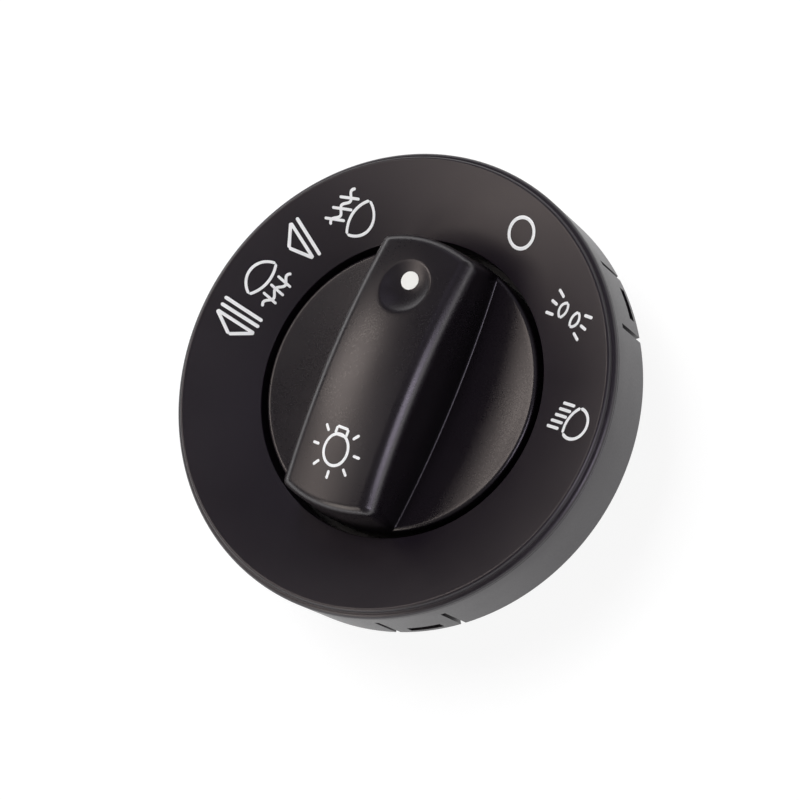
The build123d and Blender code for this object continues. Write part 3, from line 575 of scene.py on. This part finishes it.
@dataclass
class Bezel:
    """Dished face, lip, rim wall with snap fingers, and the sleeve round the knob hole."""

    rim_r: float
    face_z: float
    rim_bottom: float
    face_edge_r: float = 36.98
    edge_round: float = 0.42
    ledge_drop: float = 0.9
    ledge_step: float = 0.2
    ledge_round: float = 0.12
    lip_round: float = 0.8
    groove_z_drop: float = 1.95
    groove_width: float = 0.16
    groove_depth: float = 0.12
    groove_round: float = 0.04
    groove_foot_round: float = 0.03
    hole_r: float = 24.58
    hole_round: float = 0.22
    dish_depth: float = 4.98
    face_thickness: float = 1.8
    inner_round: float = 0.3
    end_round: float = 0.1
    sleeve_wall: float = 1.5
    sleeve_bottom: float = 27.3
    rim_wall: float = 1.6
    finger_angles_cw: tuple[float, ...] = (27.9, 131.6, 207.9, 311.6)
    finger_half_angle: float = 8.45
    finger_slot: float = 0.8
    slot_drop: float = 5.0
    window_width: float = 5.6
    window_height: float = 2.0
    window_drop: float = 10.2
    column_deg: float = 0.75
    least_gap: float = 0.4
    row_step: float = 0.25

    @classmethod
    def from_frame(cls) -> "Bezel":
        """Take the rim's radius and its two heights from the frame's bezel."""
        low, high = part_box("bezel")
        return cls(rim_r=high.x / MM, face_z=high.z / MM, rim_bottom=low.z / MM)

    def cone_height(self, radius: Array | float) -> Array | float:
        """Return the cone's height: it falls evenly from the face's edge to the hole."""
        slope = self.dish_depth / (self.face_edge_r - self.hole_r)
        return self.face_z - slope * (self.face_edge_r - radius)

    def face_height(self, x: Array, y: Array) -> Array:
        """Return the face's height at a place."""
        return self.cone_height(np.hypot(x, y))

    def half_angle(self, width: float) -> float:
        """Return half the angle in degrees that a width takes up on the rim."""
        return np.degrees(width / 2 / self.rim_r)

    def columns(self) -> Array:
        """Return the wall's column angles: even steps, with a column at each slot and window edge.

        An even step that is nearer to an edge than least_gap of a step is left out.

        Returns:
            The angles in degrees, rising.
        """
        middle = 90 - np.array(self.finger_angles_cw)[:, None]
        slot_half = self.half_angle(self.finger_slot)
        window_half = self.half_angle(self.window_width)
        offsets = np.array([
            -self.finger_half_angle - slot_half, -self.finger_half_angle + slot_half, -window_half,
            window_half, self.finger_half_angle - slot_half, self.finger_half_angle + slot_half,
        ])
        special = (middle + offsets).ravel() % 360
        even = np.arange(0, 360, self.column_deg)
        gap = np.abs((even[:, None] - special[None, :] + 180) % 360 - 180).min(axis=1)
        return np.sort(np.concatenate([special, even[gap > self.column_deg * self.least_gap]]))

    def open_cells(self, columns: Array, levels: Array) -> Array:
        """Tell which cells of the wall lie in a slot or a window.

        Args:
            columns: The column angles in degrees.
            levels: The heights of the wall's rows, downwards.

        Returns:
            True for each open cell, shaped (rows, columns).
        """
        middle = (columns + np.roll(columns, -1) + np.array([0] * (len(columns) - 1) + [360])) / 2
        fingers = 90 - np.array(self.finger_angles_cw)
        away = np.abs((middle[:, None] - fingers[None, :] + 180) % 360 - 180).min(axis=1)
        in_slot = np.abs(away - self.finger_half_angle) < self.half_angle(self.finger_slot)
        in_window = away < self.half_angle(self.window_width)
        height = (levels[:-1] + levels[1:]) / 2
        window_top = self.face_z - self.window_drop
        row_in_window = (height < window_top) & (height > window_top - self.window_height)
        return in_slot[None, :] | (in_window[None, :] & row_in_window[:, None])

    def shell(self) -> Surface:
        """Build the bezel's closed surface.

        The outline is turned about Z. Below the slots' tops the outer and the inner wall have rows
        at the same heights, so a slot or a window is a set of cells left out of both, and each
        border between an open and a solid cell gets a quad from the outer wall to the inner one.

        Returns:
            The closed surface.
        """
        top, wall_top = self.face_z, self.face_z - self.slot_drop
        inner_r, sleeve_r = self.rim_r - self.rim_wall, self.hole_r + self.sleeve_wall
        groove_z = top - self.groove_z_drop
        outline = rounded([
            (self.hole_r, self.sleeve_bottom, self.end_round),
            (self.hole_r, top - self.dish_depth, self.hole_round),
            (self.face_edge_r, top, self.edge_round),
            (self.face_edge_r + self.ledge_step, top - self.ledge_drop, self.ledge_round),
            (self.rim_r, top - self.ledge_drop, self.lip_round),
            (self.rim_r, groove_z + self.groove_width / 2, self.groove_round),
            (self.rim_r - self.groove_depth, groove_z, self.groove_foot_round),
            (self.rim_r, groove_z - self.groove_width / 2, self.groove_round),
            (self.rim_r, wall_top, 0),
            (inner_r, wall_top, 0),
            (inner_r, self.cone_height(inner_r) - self.face_thickness, self.inner_round),
            (sleeve_r, self.cone_height(sleeve_r) - self.face_thickness, self.inner_round),
            (sleeve_r, self.sleeve_bottom, self.end_round),
        ])
        split = int(np.argmax((outline[:, 0] == self.rim_r) & (outline[:, 1] == wall_top)))
        window_top = top - self.window_drop
        window_foot = window_top - self.window_height
        levels = np.array([
            wall_top, wall_top - self.row_step, window_top + self.row_step, window_top,
            window_foot, window_foot - self.row_step, self.rim_bottom + self.row_step,
            self.rim_bottom,
        ])
        upper = np.unique(outline[:split], axis=0, return_index=True)[1]
        lower = np.unique(outline[split:], axis=0, return_index=True)[1] + split
        lower = lower[outline[lower, 1] != wall_top]
        before, after = outline[np.sort(upper)], outline[np.sort(lower)]
        outer = np.stack([np.full(len(levels), self.rim_r), levels], axis=1)
        inner = np.stack([np.full(len(levels), inner_r), levels[::-1]], axis=1)
        profile = np.concatenate([before, outer, inner, after])
        columns = self.columns()
        points = swept(profile, np.radians(columns))
        rows, count = points.shape[:2]
        opened = self.open_cells(columns, levels)
        first_outer, first_inner = len(before), len(before) + len(levels)
        keep = np.ones((rows, count), bool)
        keep[first_outer:first_inner] = ~np.concatenate([opened, opened[-1:]])
        keep[first_inner:first_inner + len(levels) - 1] = ~opened[::-1]

        def number(level: Array, column: Array, inside: bool) -> Array:
            """Return a wall point's number on the inner or the outer side."""
            row = first_inner + len(levels) - 1 - level if inside else first_outer + level
            return row * count + column % count

        def bridge(border: Array, down: int, right: int) -> Array:
            """Join the outer wall to the inner one at the borders that run down or right.

            Args:
                border: True for each cell that starts a border.
                down: 1 where borders run down, else 0.
                right: 1 where borders run right, else 0.

            Returns:
                The quads.
            """
            level, column = np.nonzero(border)
            return np.stack([
                number(level, column, False), number(level + down, column + right, False),
                number(level + down, column + right, True), number(level, column, True),
            ], axis=1)

        walls = grid_quads(rows, count, close_rows=True)[keep]
        sides = bridge(opened != np.roll(opened, 1, axis=1), down=1, right=0)
        padded = np.concatenate([np.zeros((1, count), bool), opened])
        caps = bridge(padded[1:] != padded[:-1], down=0, right=1)
        return Surface(points.reshape(-1, 3), np.concatenate([walls, sides, caps]))

    def build(self) -> None:
        """Build the bezel in place of the frame's plain one."""
        write_piece("bezel_shell", [self.shell()], Slot.bezel_black, "housing", ("bezel",))


class Pictograph(Enum):
    """The face's marks."""

    off = auto()
    side_lights = auto()
    dipped_beam = auto()
    front_fog = auto()
    rear_fog = auto()
    pull_once = auto()
    pull_twice = auto()


@dataclass
class FaceMarks:
    """White pictographs moulded into the dished face, all upright to +Y."""

    bezel: Bezel
    bold: float = 0.56
    fine: float = 0.46
    beam: float = 0.5
    beam_lens: float = 0.52
    pull_line: float = 0.6
    wave_bulge: float = 0.28
    wave_steps: int = 24
    off_r: float = 2.34
    off_at: float = 31.15
    ring_steps: int = 96
    strokes: list[Surface] = field(default_factory=list)

    def add(self, path: Array, width: float, closed: bool = False) -> None:
        """Add a stroke on the face."""
        self.strokes.append(stroke(path, width, self.bezel.face_height, closed))

    def line(self, start: Pair, end: Pair, width: float) -> None:
        """Add a straight stroke."""
        self.add(straight(start, end, width / 2), width)

    def lens(self, top: Pair, left: Pair, bottom: Pair, right: Pair, width: float) -> None:
        """Add a lamp's lens: two arcs between a top and a bottom point."""
        for path in (arc_through(top, left, bottom), arc_through(bottom, right, top)):
            self.add(path, width)

    def wave(self, x: float, low: float, high: float, count: int) -> None:
        """Add an upright wavy line, x - a sin(pi k) with k counting the half waves.

        Args:
            x: Its middle line.
            low: Its lower end.
            high: Its upper end.
            count: Its half waves.
        """
        y = np.linspace(low, high, self.wave_steps * count)
        swing = self.wave_bulge * (high - low) / count
        path = np.stack([x - swing * np.sin(pi * count * (y - low) / (high - low)), y], axis=1)
        self.add(path, self.fine)

    def draw(self, mark: Pictograph) -> None:
        """Add the strokes of one pictograph.

        Args:
            mark: Which one.
        """
        if mark is Pictograph.off:
            ring = arc(0, self.off_at, self.off_r, ring_turns(self.ring_steps))
            self.add(ring, self.bold, closed=True)
        elif mark is Pictograph.side_lights:
            middle_x, middle_y = 15.65, 26.4
            for side in (-1, 1):
                x = middle_x + side * 1.5
                tip = x - side * 0.2
                top, bottom = (tip, 27.7), (tip, 25.15)
                self.lens(top, (x - 0.72, 26.45), bottom, (x + 0.72, 26.45), self.fine)
                for rise in (-1, 0, 1):
                    near, far = 2.9 - 0.35 * abs(rise), 4.4 - 0.2 * abs(rise)
                    self.line(
                        (middle_x + side * near, middle_y + rise * 1.55),
                        (middle_x + side * far, middle_y + rise * 2.05), self.beam,
                    )
        elif mark is Pictograph.dipped_beam:
            self.lens((28.0, 17.0), (27.25, 14.6), (28.0, 12.3), (31.3, 14.75), self.beam_lens)
            for k in range(5):
                self.line((24.45, 11.5 + 1.07 * k), (26.85, 12.35 + 1.07 * k), self.beam)
        elif mark is Pictograph.front_fog:
            self.lens((-25.1, 19.0), (-26.2, 15.7), (-25.1, 12.4), (-22.6, 15.7), self.fine)
            for k in range(3):
                self.line((-29.45, 12.0 + 2.12 * k), (-26.55, 13.85 + 2.12 * k), self.fine)
            self.wave(-28.0, 11.8, 19.0, 5)
        elif mark is Pictograph.rear_fog:
            self.lens((-31.0, 1.07), (-33.4, -2.3), (-31.0, -5.65), (-30.1, -2.3), self.fine)
            for k in range(3):
                self.line((-29.6, -3.88 + 1.8 * k), (-26.85, -3.88 + 1.8 * k), self.fine)
            self.wave(-28.15, -5.7, 1.5, 5)
        elif mark is Pictograph.pull_once:
            self.head(((-33.2, 7.7), (-31.0, 4.4), (-27.1, 5.8)), (((-33.0, 9.0), (-26.5, 6.9)),))
        else:
            self.head(
                ((-32.9, -11.0), (-29.0, -12.7), (-26.2, -9.9)),
                (((-33.2, -9.8), (-26.3, -8.6)), ((-33.5, -8.6), (-26.6, -7.5))),
            )

    def head(self, corners: tuple[Pair, ...], lines: tuple[tuple[Pair, Pair], ...]) -> None:
        """Add an arrow head of three sides and the lines beside it.

        Args:
            corners: The head's corners.
            lines: Each line's two ends.
        """
        for first, second in zip(corners, corners[1:] + corners[:1]):
            self.line(first, second, self.bold)
        for first, second in lines:
            self.line(first, second, self.pull_line)

    def build(self) -> None:
        """Draw every pictograph into one piece."""
        for mark in Pictograph:
            self.draw(mark)
        write_piece("face_prints", self.strokes, Slot.mark_white, "housing", ("bezel_marks",))


# The knob


@dataclass
class Knob:
    """Dished disc with a skirt, and the raised grip with its dimple and bulb mark."""

    radius: float
    bottom: float
    top: float
    edge_z: float = 32.24
    edge_round: float = 0.6
    edge_steps: int = 13
    scoop_depth: float = 2.55
    skirt: float = 1.6
    web: float = 1.0
    rest_cw: float = -21.0
    half_width: float = 9.0
    end_step: float = 0.05
    corner_r: float = 1.5
    side_draft_deg: float = 1.2
    end_draft_deg: float = 4.0
    foot_round: float = 0.3
    foot_sink: float = 0.012
    foot_depth: float = 0.25
    root: float = 0.8
    corner_loss: float = 0.85
    arch_r: float = 100.0
    crown_r: float = 34.0
    side_shoulder: float = 2.4
    end_shoulder: float = 1.5
    dimple_at: float = 15.2
    dimple_d: float = 9.0
    dimple_depth: float = 1.1
    dimple_edge: float = 0.1
    bowl_reach: float = 0.97
    bulb_at: float = -13.7
    bulb_half_width: float = 2.1
    bulb_half_height: float = 2.5
    bulb_steps: int = 96
    base_rise: float = 0.45
    base_half_width: float = 1.0
    base_half_height: float = 0.6
    ray_start: Pair = (1.05, 0.8)
    ray_end: Pair = (2.3, 2.2)
    rays: int = 7
    ray_step_deg: float = 45.0
    print_width: float = 0.46
    disc_steps: int = 360
    disc_rings: int = 40
    side_steps: int = 120
    corner_steps: int = 16
    end_steps: int = 64
    foot_rings: int = 8
    wall_rings: int = 14
    shoulder_rings: int = 19
    top_rings: int = 90

    @classmethod
    def from_frame(cls) -> "Knob":
        """Take the disc's radius and the knob's two heights from the frame's knob."""
        low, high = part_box("knob")
        return cls(radius=high.x / MM, bottom=low.z / MM, top=high.z / MM)

    @property
    def ball_r(self) -> float:
        """Return the radius of the ball whose inside is the scoop."""
        return (self.radius**2 + self.scoop_depth**2) / (2 * self.scoop_depth)

    def scoop_height(self, radius: Array) -> Array:
        """Return the disc's height: a ball's inside, scoop_depth below the edge at the axis."""
        ball = self.ball_r
        return self.edge_z - np.sqrt(ball**2 - radius**2) + sqrt(ball**2 - self.radius**2)

    def edge_arc(self) -> Array:
        """Return the disc's rounded edge, an arc that leaves the scoop at the scoop's own slope.

        Returns:
            Points (radius, z), outwards.
        """
        slope = asin(self.radius / self.ball_r)
        start_r = self.radius - self.edge_round * (1 + sin(slope))
        centre_z = self.scoop_height(start_r) - self.edge_round * cos(slope)
        turn = np.linspace(pi / 2 + slope, 0, self.edge_steps)
        return arc(self.radius - self.edge_round, centre_z, self.edge_round, turn)

    def floor_height(self, radius: Array) -> Array:
        """Return the disc's height with its rounded edge.

        Args:
            radius: Distance from the axis.

        Returns:
            The height.
        """
        edge = self.edge_arc()
        return np.where(
            radius < edge[0, 0], self.scoop_height(np.minimum(radius, edge[0, 0])),
            np.interp(radius, edge[:, 0], edge[:, 1]),
        )

    def top_height(self, across: Array, along: Array) -> Array:
        """Return the grip's top: an arch along it, a crown across it, and the dimple's bowl.

        The bowl meets the top in a small round, from the smooth minimum
        (a + b - sqrt((a - b)^2 + k^2)) / 2 of the two heights.

        Args:
            across: Places across the grip.
            along: Places along it.

        Returns:
            The heights.
        """
        bare = (
            self.top - self.arch_r + np.sqrt(self.arch_r**2 - along**2)
            - self.crown_r + np.sqrt(self.crown_r**2 - across**2)
        )
        ball = ((self.dimple_d / 2) ** 2 + self.dimple_depth**2) / (2 * self.dimple_depth)
        floor = self.top - self.arch_r + sqrt(self.arch_r**2 - self.dimple_at**2) - self.dimple_depth
        limit = (self.bowl_reach * ball) ** 2
        away = np.clip(across**2 + (along - self.dimple_at) ** 2, 0, limit)
        bowl = floor + ball - np.sqrt(ball**2 - away)
        return (bare + bowl - np.sqrt((bare - bowl) ** 2 + self.dimple_edge**2)) / 2

    def to_frame(self, across: Array, along: Array, z: Array) -> Array:
        """Turn places on the grip into the frame's axes.

        Args:
            across: Places across the grip.
            along: Places along it.
            z: Heights.

        Returns:
            Points (x, y, z).
        """
        turn = radians(self.rest_cw)
        x = across * cos(turn) + along * sin(turn)
        y = -across * sin(turn) + along * cos(turn)
        return np.stack([x, y, z + 0 * x], axis=-1)

    def disc(self) -> Surface:
        """Build the disc: the scoop, a rounded edge, the skirt and a flat underside.

        Returns:
            The closed surface.
        """
        inner = self.radius - self.skirt
        under = self.bottom + self.web
        edge = self.edge_arc()
        r = np.linspace(0, edge[0, 0], self.disc_rings)[:-1]
        rest = [(self.radius, self.bottom), (inner, self.bottom), (inner, under), (0, under)]
        profile = np.concatenate([np.stack([r, self.scoop_height(r)], axis=1), edge, rest])
        return grid_surface(swept(profile, ring_turns(self.disc_steps)), close_rows=True)

    def outline(self, side: float, end: float, corner: float) -> Array:
        """Return the grip's outline in plan, its sides and its ends moved inwards.

        It is the circle of the ends cut by the two sides, and each corner is an arc that touches
        both: its centre lies the corner's radius inside each.

        Args:
            side: How far the sides are moved inwards.
            end: How far the ends are moved inwards.
            corner: The corners' radius.

        Returns:
            Points (across, along), always as many.
        """
        width, reach = self.half_width - side, self.radius - self.end_step - end
        centre_x = width - corner
        centre_y = sqrt((reach - corner) ** 2 - centre_x**2)
        touch = atan2(centre_y, centre_x)
        run = np.linspace(-1, 1, self.side_steps, endpoint=False) * centre_y
        bend = np.linspace(0, touch, self.corner_steps, endpoint=False)
        tip = np.linspace(touch, pi - touch, self.end_steps, endpoint=False)
        back = touch - bend
        half = np.concatenate([
            np.stack([np.full(len(run), width), run], axis=1),
            arc(centre_x, centre_y, corner, bend),
            arc(0, 0, reach, tip),
            arc(-centre_x, centre_y, corner, pi - back),
        ])
        return np.concatenate([half, -half])

    def end_share(self) -> Array:
        """Return 0 for the outline's points on a side, 1 on an end, and shares at the corners.

        Returns:
            A share for each point of the outline.
        """
        rise = np.arange(self.corner_steps) / self.corner_steps
        half = np.concatenate([np.zeros(self.side_steps), rise, np.ones(self.end_steps), 1 - rise])
        return np.tile(half, 2)

    def grip(self) -> Surface:
        """Build the grip as rings of its outline.

        From below: a cap inside the disc, a concave foot r (1 - sin t) outside the sides, the wall
        with its drafts, a shoulder that is a quarter circle in inset and drop, and then rings that
        close in on the middle line.

        Returns:
            The closed surface.
        """
        rings: list[Array] = []
        base = self.outline(0.0, 0.0, self.corner_r)
        spine_end = self.radius - self.end_step - self.half_width
        spine = np.stack([0 * base[:, 0], np.clip(base[:, 1], -spine_end, spine_end)], axis=1)
        deep = self.edge_z - self.scoop_depth - self.root
        share = self.end_share()
        shoulder = self.side_shoulder + share * (self.end_shoulder - self.side_shoulder)

        def ring(plan: Array, z: Array | float) -> None:
            """Add one ring of points."""
            rings.append(self.to_frame(plan[:, 0], plan[:, 1], z))

        ring(spine, deep)
        ring(base, deep)
        for turn in np.linspace(0, pi / 2, self.foot_rings):
            plan = self.outline(-self.foot_round * (1 - sin(turn)), 0.0, self.corner_r)
            floor = self.floor_height(np.hypot(plan[:, 0], plan[:, 1]))
            if turn == 0:
                ring(plan, floor - self.foot_depth)
            ring(plan, floor - self.foot_sink + self.foot_round * (1 - cos(turn)))
        foot_z = rings[-1][:, 2]
        shoulder_z = self.top_height(base[:, 0], base[:, 1]) - shoulder
        rise = self.top - self.side_shoulder - self.edge_z
        lean_side = rise * tan(radians(self.side_draft_deg))
        lean_end = rise * tan(radians(self.end_draft_deg))
        for up in np.linspace(0, 1, self.wall_rings)[1:]:
            plan = self.outline(up * lean_side, up * lean_end, self.corner_r)
            ring(plan, foot_z + up * (shoulder_z - foot_z))
        for turn in np.linspace(0, pi / 2, self.shoulder_rings)[1:]:
            gone = 1 - cos(turn)
            plan = self.outline(
                lean_side + gone * self.side_shoulder, lean_end + gone * self.end_shoulder,
                self.corner_r * (1 - self.corner_loss * gone),
            )
            ring(plan, self.top_height(plan[:, 0], plan[:, 1]) - shoulder * (1 - sin(turn)))
        for inward in np.linspace(0, 1, self.top_rings)[1:]:
            middle = plan + inward * (spine - plan)
            ring(middle, self.top_height(middle[:, 0], middle[:, 1]))
        return grid_surface(np.stack(rings))

    def marks(self) -> list[Surface]:
        """Draw the bulb: a round lamp, its square base towards the pointer, and seven rays.

        Returns:
            Its strokes.
        """
        turn = ring_turns(self.bulb_steps)
        wide, high = self.bulb_half_width, self.bulb_half_height
        lamp = np.stack([wide * np.cos(turn), self.bulb_at + high * np.sin(turn)], axis=1)
        base_y = self.bulb_at + high + self.base_rise
        corners = [
            (side * self.base_half_width, base_y + end * self.base_half_height)
            for side, end in ((-1, -1), (1, -1), (1, 1), (-1, 1))
        ]
        lines = list(zip(corners, corners[1:] + corners[:1]))
        for k in range(self.rays):
            ray = radians(self.ray_step_deg * (1 - k))
            lines.append(tuple(
                ((wide + gap[0]) * cos(ray), self.bulb_at + (high + gap[1]) * sin(ray))
                for gap in (self.ray_start, self.ray_end)
            ))
        drawn = [stroke(lamp, self.print_width, self.top_height, closed=True)]
        for first, second in lines:
            path = straight(first, second, self.print_width / 2)
            drawn.append(stroke(path, self.print_width, self.top_height))
        for surface in drawn:
            surface.points = self.to_frame(*surface.points.T)
        return drawn

    def build(self) -> None:
        """Build the knob and its print in place of the frame's plain ones."""
        write_piece("knob_shell", [self.disc(), self.grip()], Slot.knob_black, "knob", ("knob",))
        write_piece("knob_prints", self.marks(), Slot.mark_white, "knob", ("knob_marks",))


# The frame's own nodes


@dataclass
class FrameNodes:
    """The frame's nodes that keep their mesh, with welded seams and softened moulded edges."""

    edge_mm: float = 0.15
    edge_segments: int = 2
    edge_angle_deg: float = 40.0
    weld_mm: float = 0.002
    softened: tuple[str, ...] = (
        "housing", "rear_cover", "rotor", "shaft", "contact_plate", "fog_slider", "terminals",
        "knob_light_guide", "board_lamps", "board_resistors",
    )

    def build(self, replaced: set[str]) -> None:
        """Dress each shown node from the record's own list of slots.

        Args:
            replaced: Nodes that another piece stands for.
        """
        for row in frame["record"]["subparts"]:
            name = row["node"]
            if name in replaced:
                continue
            piece = frame["nodes"][name]
            dress(piece, Slot[row["material_slot"]])
            if name in self.softened:
                weld = piece.modifiers.new("weld", "WELD")
                weld.merge_threshold = self.weld_mm * MM
                bevel = piece.modifiers.new("edges", "BEVEL")
                bevel.width = self.edge_mm * MM
                bevel.segments = self.edge_segments
                bevel.limit_method = "ANGLE"
                bevel.angle_limit = radians(self.edge_angle_deg)
            LOG.info("%s dressed as %s", name, row["material_slot"])


# The studio


@dataclass(frozen=True)
class SoftBox:
    """A square lamp that faces the object: it shows in reflections alone, or only lights."""

    name: str
    direction: Triple
    power: float
    colour: str
    side: float = 0.3
    distance: float = 0.7
    shown: bool = True

    def build(self, target: Triple) -> None:
        """Place the lamp at its distance from the target, in its direction.

        Args:
            target: The point that it faces, in metres.
        """
        data = bpy.data.lights.new(self.name, "AREA")
        data.shape = "RECTANGLE"
        data.size = data.size_y = self.side
        data.energy = self.power
        data.color = linear(self.colour)[:3]
        lamp = new_object(self.name, data)
        away = Vector(self.direction).normalized()
        lamp.location = Vector(target) + away * self.distance
        lamp.rotation_euler = away.to_track_quat("Z", "Y").to_euler()
        lamp.visible_glossy = self.shown
        lamp.visible_diffuse = not self.shown


@dataclass
class Studio:
    """Plain pale floor and soft lamps, placed by direction from the object's middle."""

    target: Triple = (0.0, 0.0, 0.026)
    floor_half: float = 3.0
    floor_colour: str = "#707070"
    floor_lift: float = 0.9
    glow_heights: Pair = (0.04, 0.3)
    glow_levels: Pair = (3.2, 0.16)
    boxes: tuple[SoftBox, ...] = (
        # Lights the marks and casts the shadow
        SoftBox("overhead", (-0.1, 0.13, 0.98), 4.0, "#ffffff", distance=0.75, shown=False),
        # The warm highlight on the grip and on the far right of the bezel
        SoftBox("key", (-0.61, -0.14, 0.78), 0.95, "#fff4ea", side=0.24),
        SoftBox("key_near", (-0.354, -0.379, 0.856), 0.42, "#fff4ea"),
        SoftBox("key_low", (-0.42, -0.55, 0.72), 0.5, "#fff2e6"),
        SoftBox("over_left", (-0.15, -0.2, 0.96), 0.07, "#fffafc", side=0.24),
        # A breath of purple in the shade
        SoftBox("far", (0.1, 0.5, 0.86), 0.1, "#e6dcff"),
        SoftBox("far_left", (-0.4, 0.7, 0.6), 0.1, "#e6dcff"),
        # Bands along the grip's shoulder and the bezel's edge
        SoftBox("side", (0.8, 0.3, 0.45), 1.8, "#f1eaff"),
        SoftBox("front", (0.1, -0.84, 0.53), 1.3, "#fff6ea"),
    )

    def floor(self) -> None:
        """Make the floor: it looks white, shows the shadow and throws little light back."""
        half = self.floor_half
        corners = [(x * half, y * half, 0) for x, y in ((-1, -1), (1, -1), (1, 1), (-1, 1))]
        mesh = bpy.data.meshes.new("floor")
        mesh.from_pydata(corners, [], [(0, 1, 2, 3)])
        floor = new_object("floor", mesh)
        material, tree, surface = new_material("pale_floor")
        diffuse = add_node(tree, "BsdfDiffuse", {"Color": linear(self.floor_colour)}).outputs[0]
        lift = add_node(tree, "Emission", {"Strength": self.floor_lift}).outputs[0]
        seen = add_node(tree, "AddShader", {0: diffuse, 1: lift}).outputs[0]
        mixed = add_node(
            tree, "MixShader", {0: self.seen_rays(tree), 1: diffuse, 2: seen}
        ).outputs[0]
        tree.links.new(mixed, surface)
        mesh.materials.append(material)

    def seen_rays(self, tree: NodeTree) -> NodeSocket:
        """Return 1 for camera, glossy and transmission rays, and 0 for others.

        Args:
            tree: The node tree.

        Returns:
            The value's socket.
        """
        rays = add_node(tree, "LightPath").outputs
        seen = rays["Is Camera Ray"]
        for kind in ("Is Glossy Ray", "Is Transmission Ray"):
            seen = add_node(tree, "Math", {0: seen, 1: rays[kind]}, operation="MAXIMUM").outputs[0]
        return seen

    def world(self) -> None:
        """Make the room: white to the camera, and in reflections dim above a bright horizon."""
        world = bpy.data.worlds.new("studio")
        bpy.context.scene.world = world
        world.use_nodes = True
        tree = world.node_tree
        tree.nodes.clear()
        direction = add_node(tree, "TexCoord").outputs["Generated"]
        up = add_node(tree, "SeparateXYZ", {0: direction}).outputs["Z"]
        (low, high), (near, far) = self.glow_heights, self.glow_levels
        glow = add_node(
            tree, "MapRange",
            {"Value": up, "From Min": low, "From Max": high, "To Min": near, "To Max": far},
            interpolation_type="SMOOTHSTEP",
        ).outputs[0]
        room = add_node(tree, "Background", {"Color": (1, 1, 1, 1), "Strength": glow}).outputs[0]
        white = add_node(tree, "Background", {"Color": (1, 1, 1, 1), "Strength": 1.0}).outputs[0]
        camera = add_node(tree, "LightPath").outputs["Is Camera Ray"]
        mixed = add_node(tree, "MixShader", {0: camera, 1: room, 2: white}).outputs[0]
        add_node(tree, "OutputWorld", {"Surface": mixed})

    def build(self) -> None:
        """Set up the floor, the room and the lamps."""
        self.floor()
        self.world()
        for box in self.boxes:
            box.build(self.target)


@dataclass
class PhotoCamera:
    """The photograph's view: a long lens to the lower right of the axis, rolled a little."""

    place: Triple = (0.1851, 0.0315, 0.3719)
    right: Triple = (0.6383, 0.6531, -0.4076)
    up: Triple = (-0.6073, 0.7525, 0.2548)
    lens_mm: float = 109.85
    sensor_mm: float = 36.0

    def build(self) -> None:
        """Make the camera the scene's own."""
        data = bpy.data.cameras.new("photo_camera")
        data.lens = self.lens_mm
        data.sensor_width = self.sensor_mm
        camera = new_object("photo_camera", data)
        right, up = Vector(self.right).normalized(), Vector(self.up)
        back = right.cross(up).normalized()
        up = back.cross(right)
        turned = Matrix((right, up, back)).transposed().to_4x4()
        camera.matrix_world = Matrix.Translation(self.place) @ turned
        bpy.context.scene.camera = camera


def main() -> None:
    """Build the studio, the fine pieces and the finishes."""
    logging.basicConfig(level=logging.INFO, format="%(name)s: %(message)s")
    bpy.context.scene.view_settings.view_transform = "Standard"
    Studio().build()
    PhotoCamera().build()
    bezel = Bezel.from_frame()
    bezel.build()
    FaceMarks(bezel).build()
    Knob.from_frame().build()
    FrameNodes().build({"bezel", "bezel_marks", "knob", "knob_marks"})


if __name__ == "__main__":
    main()
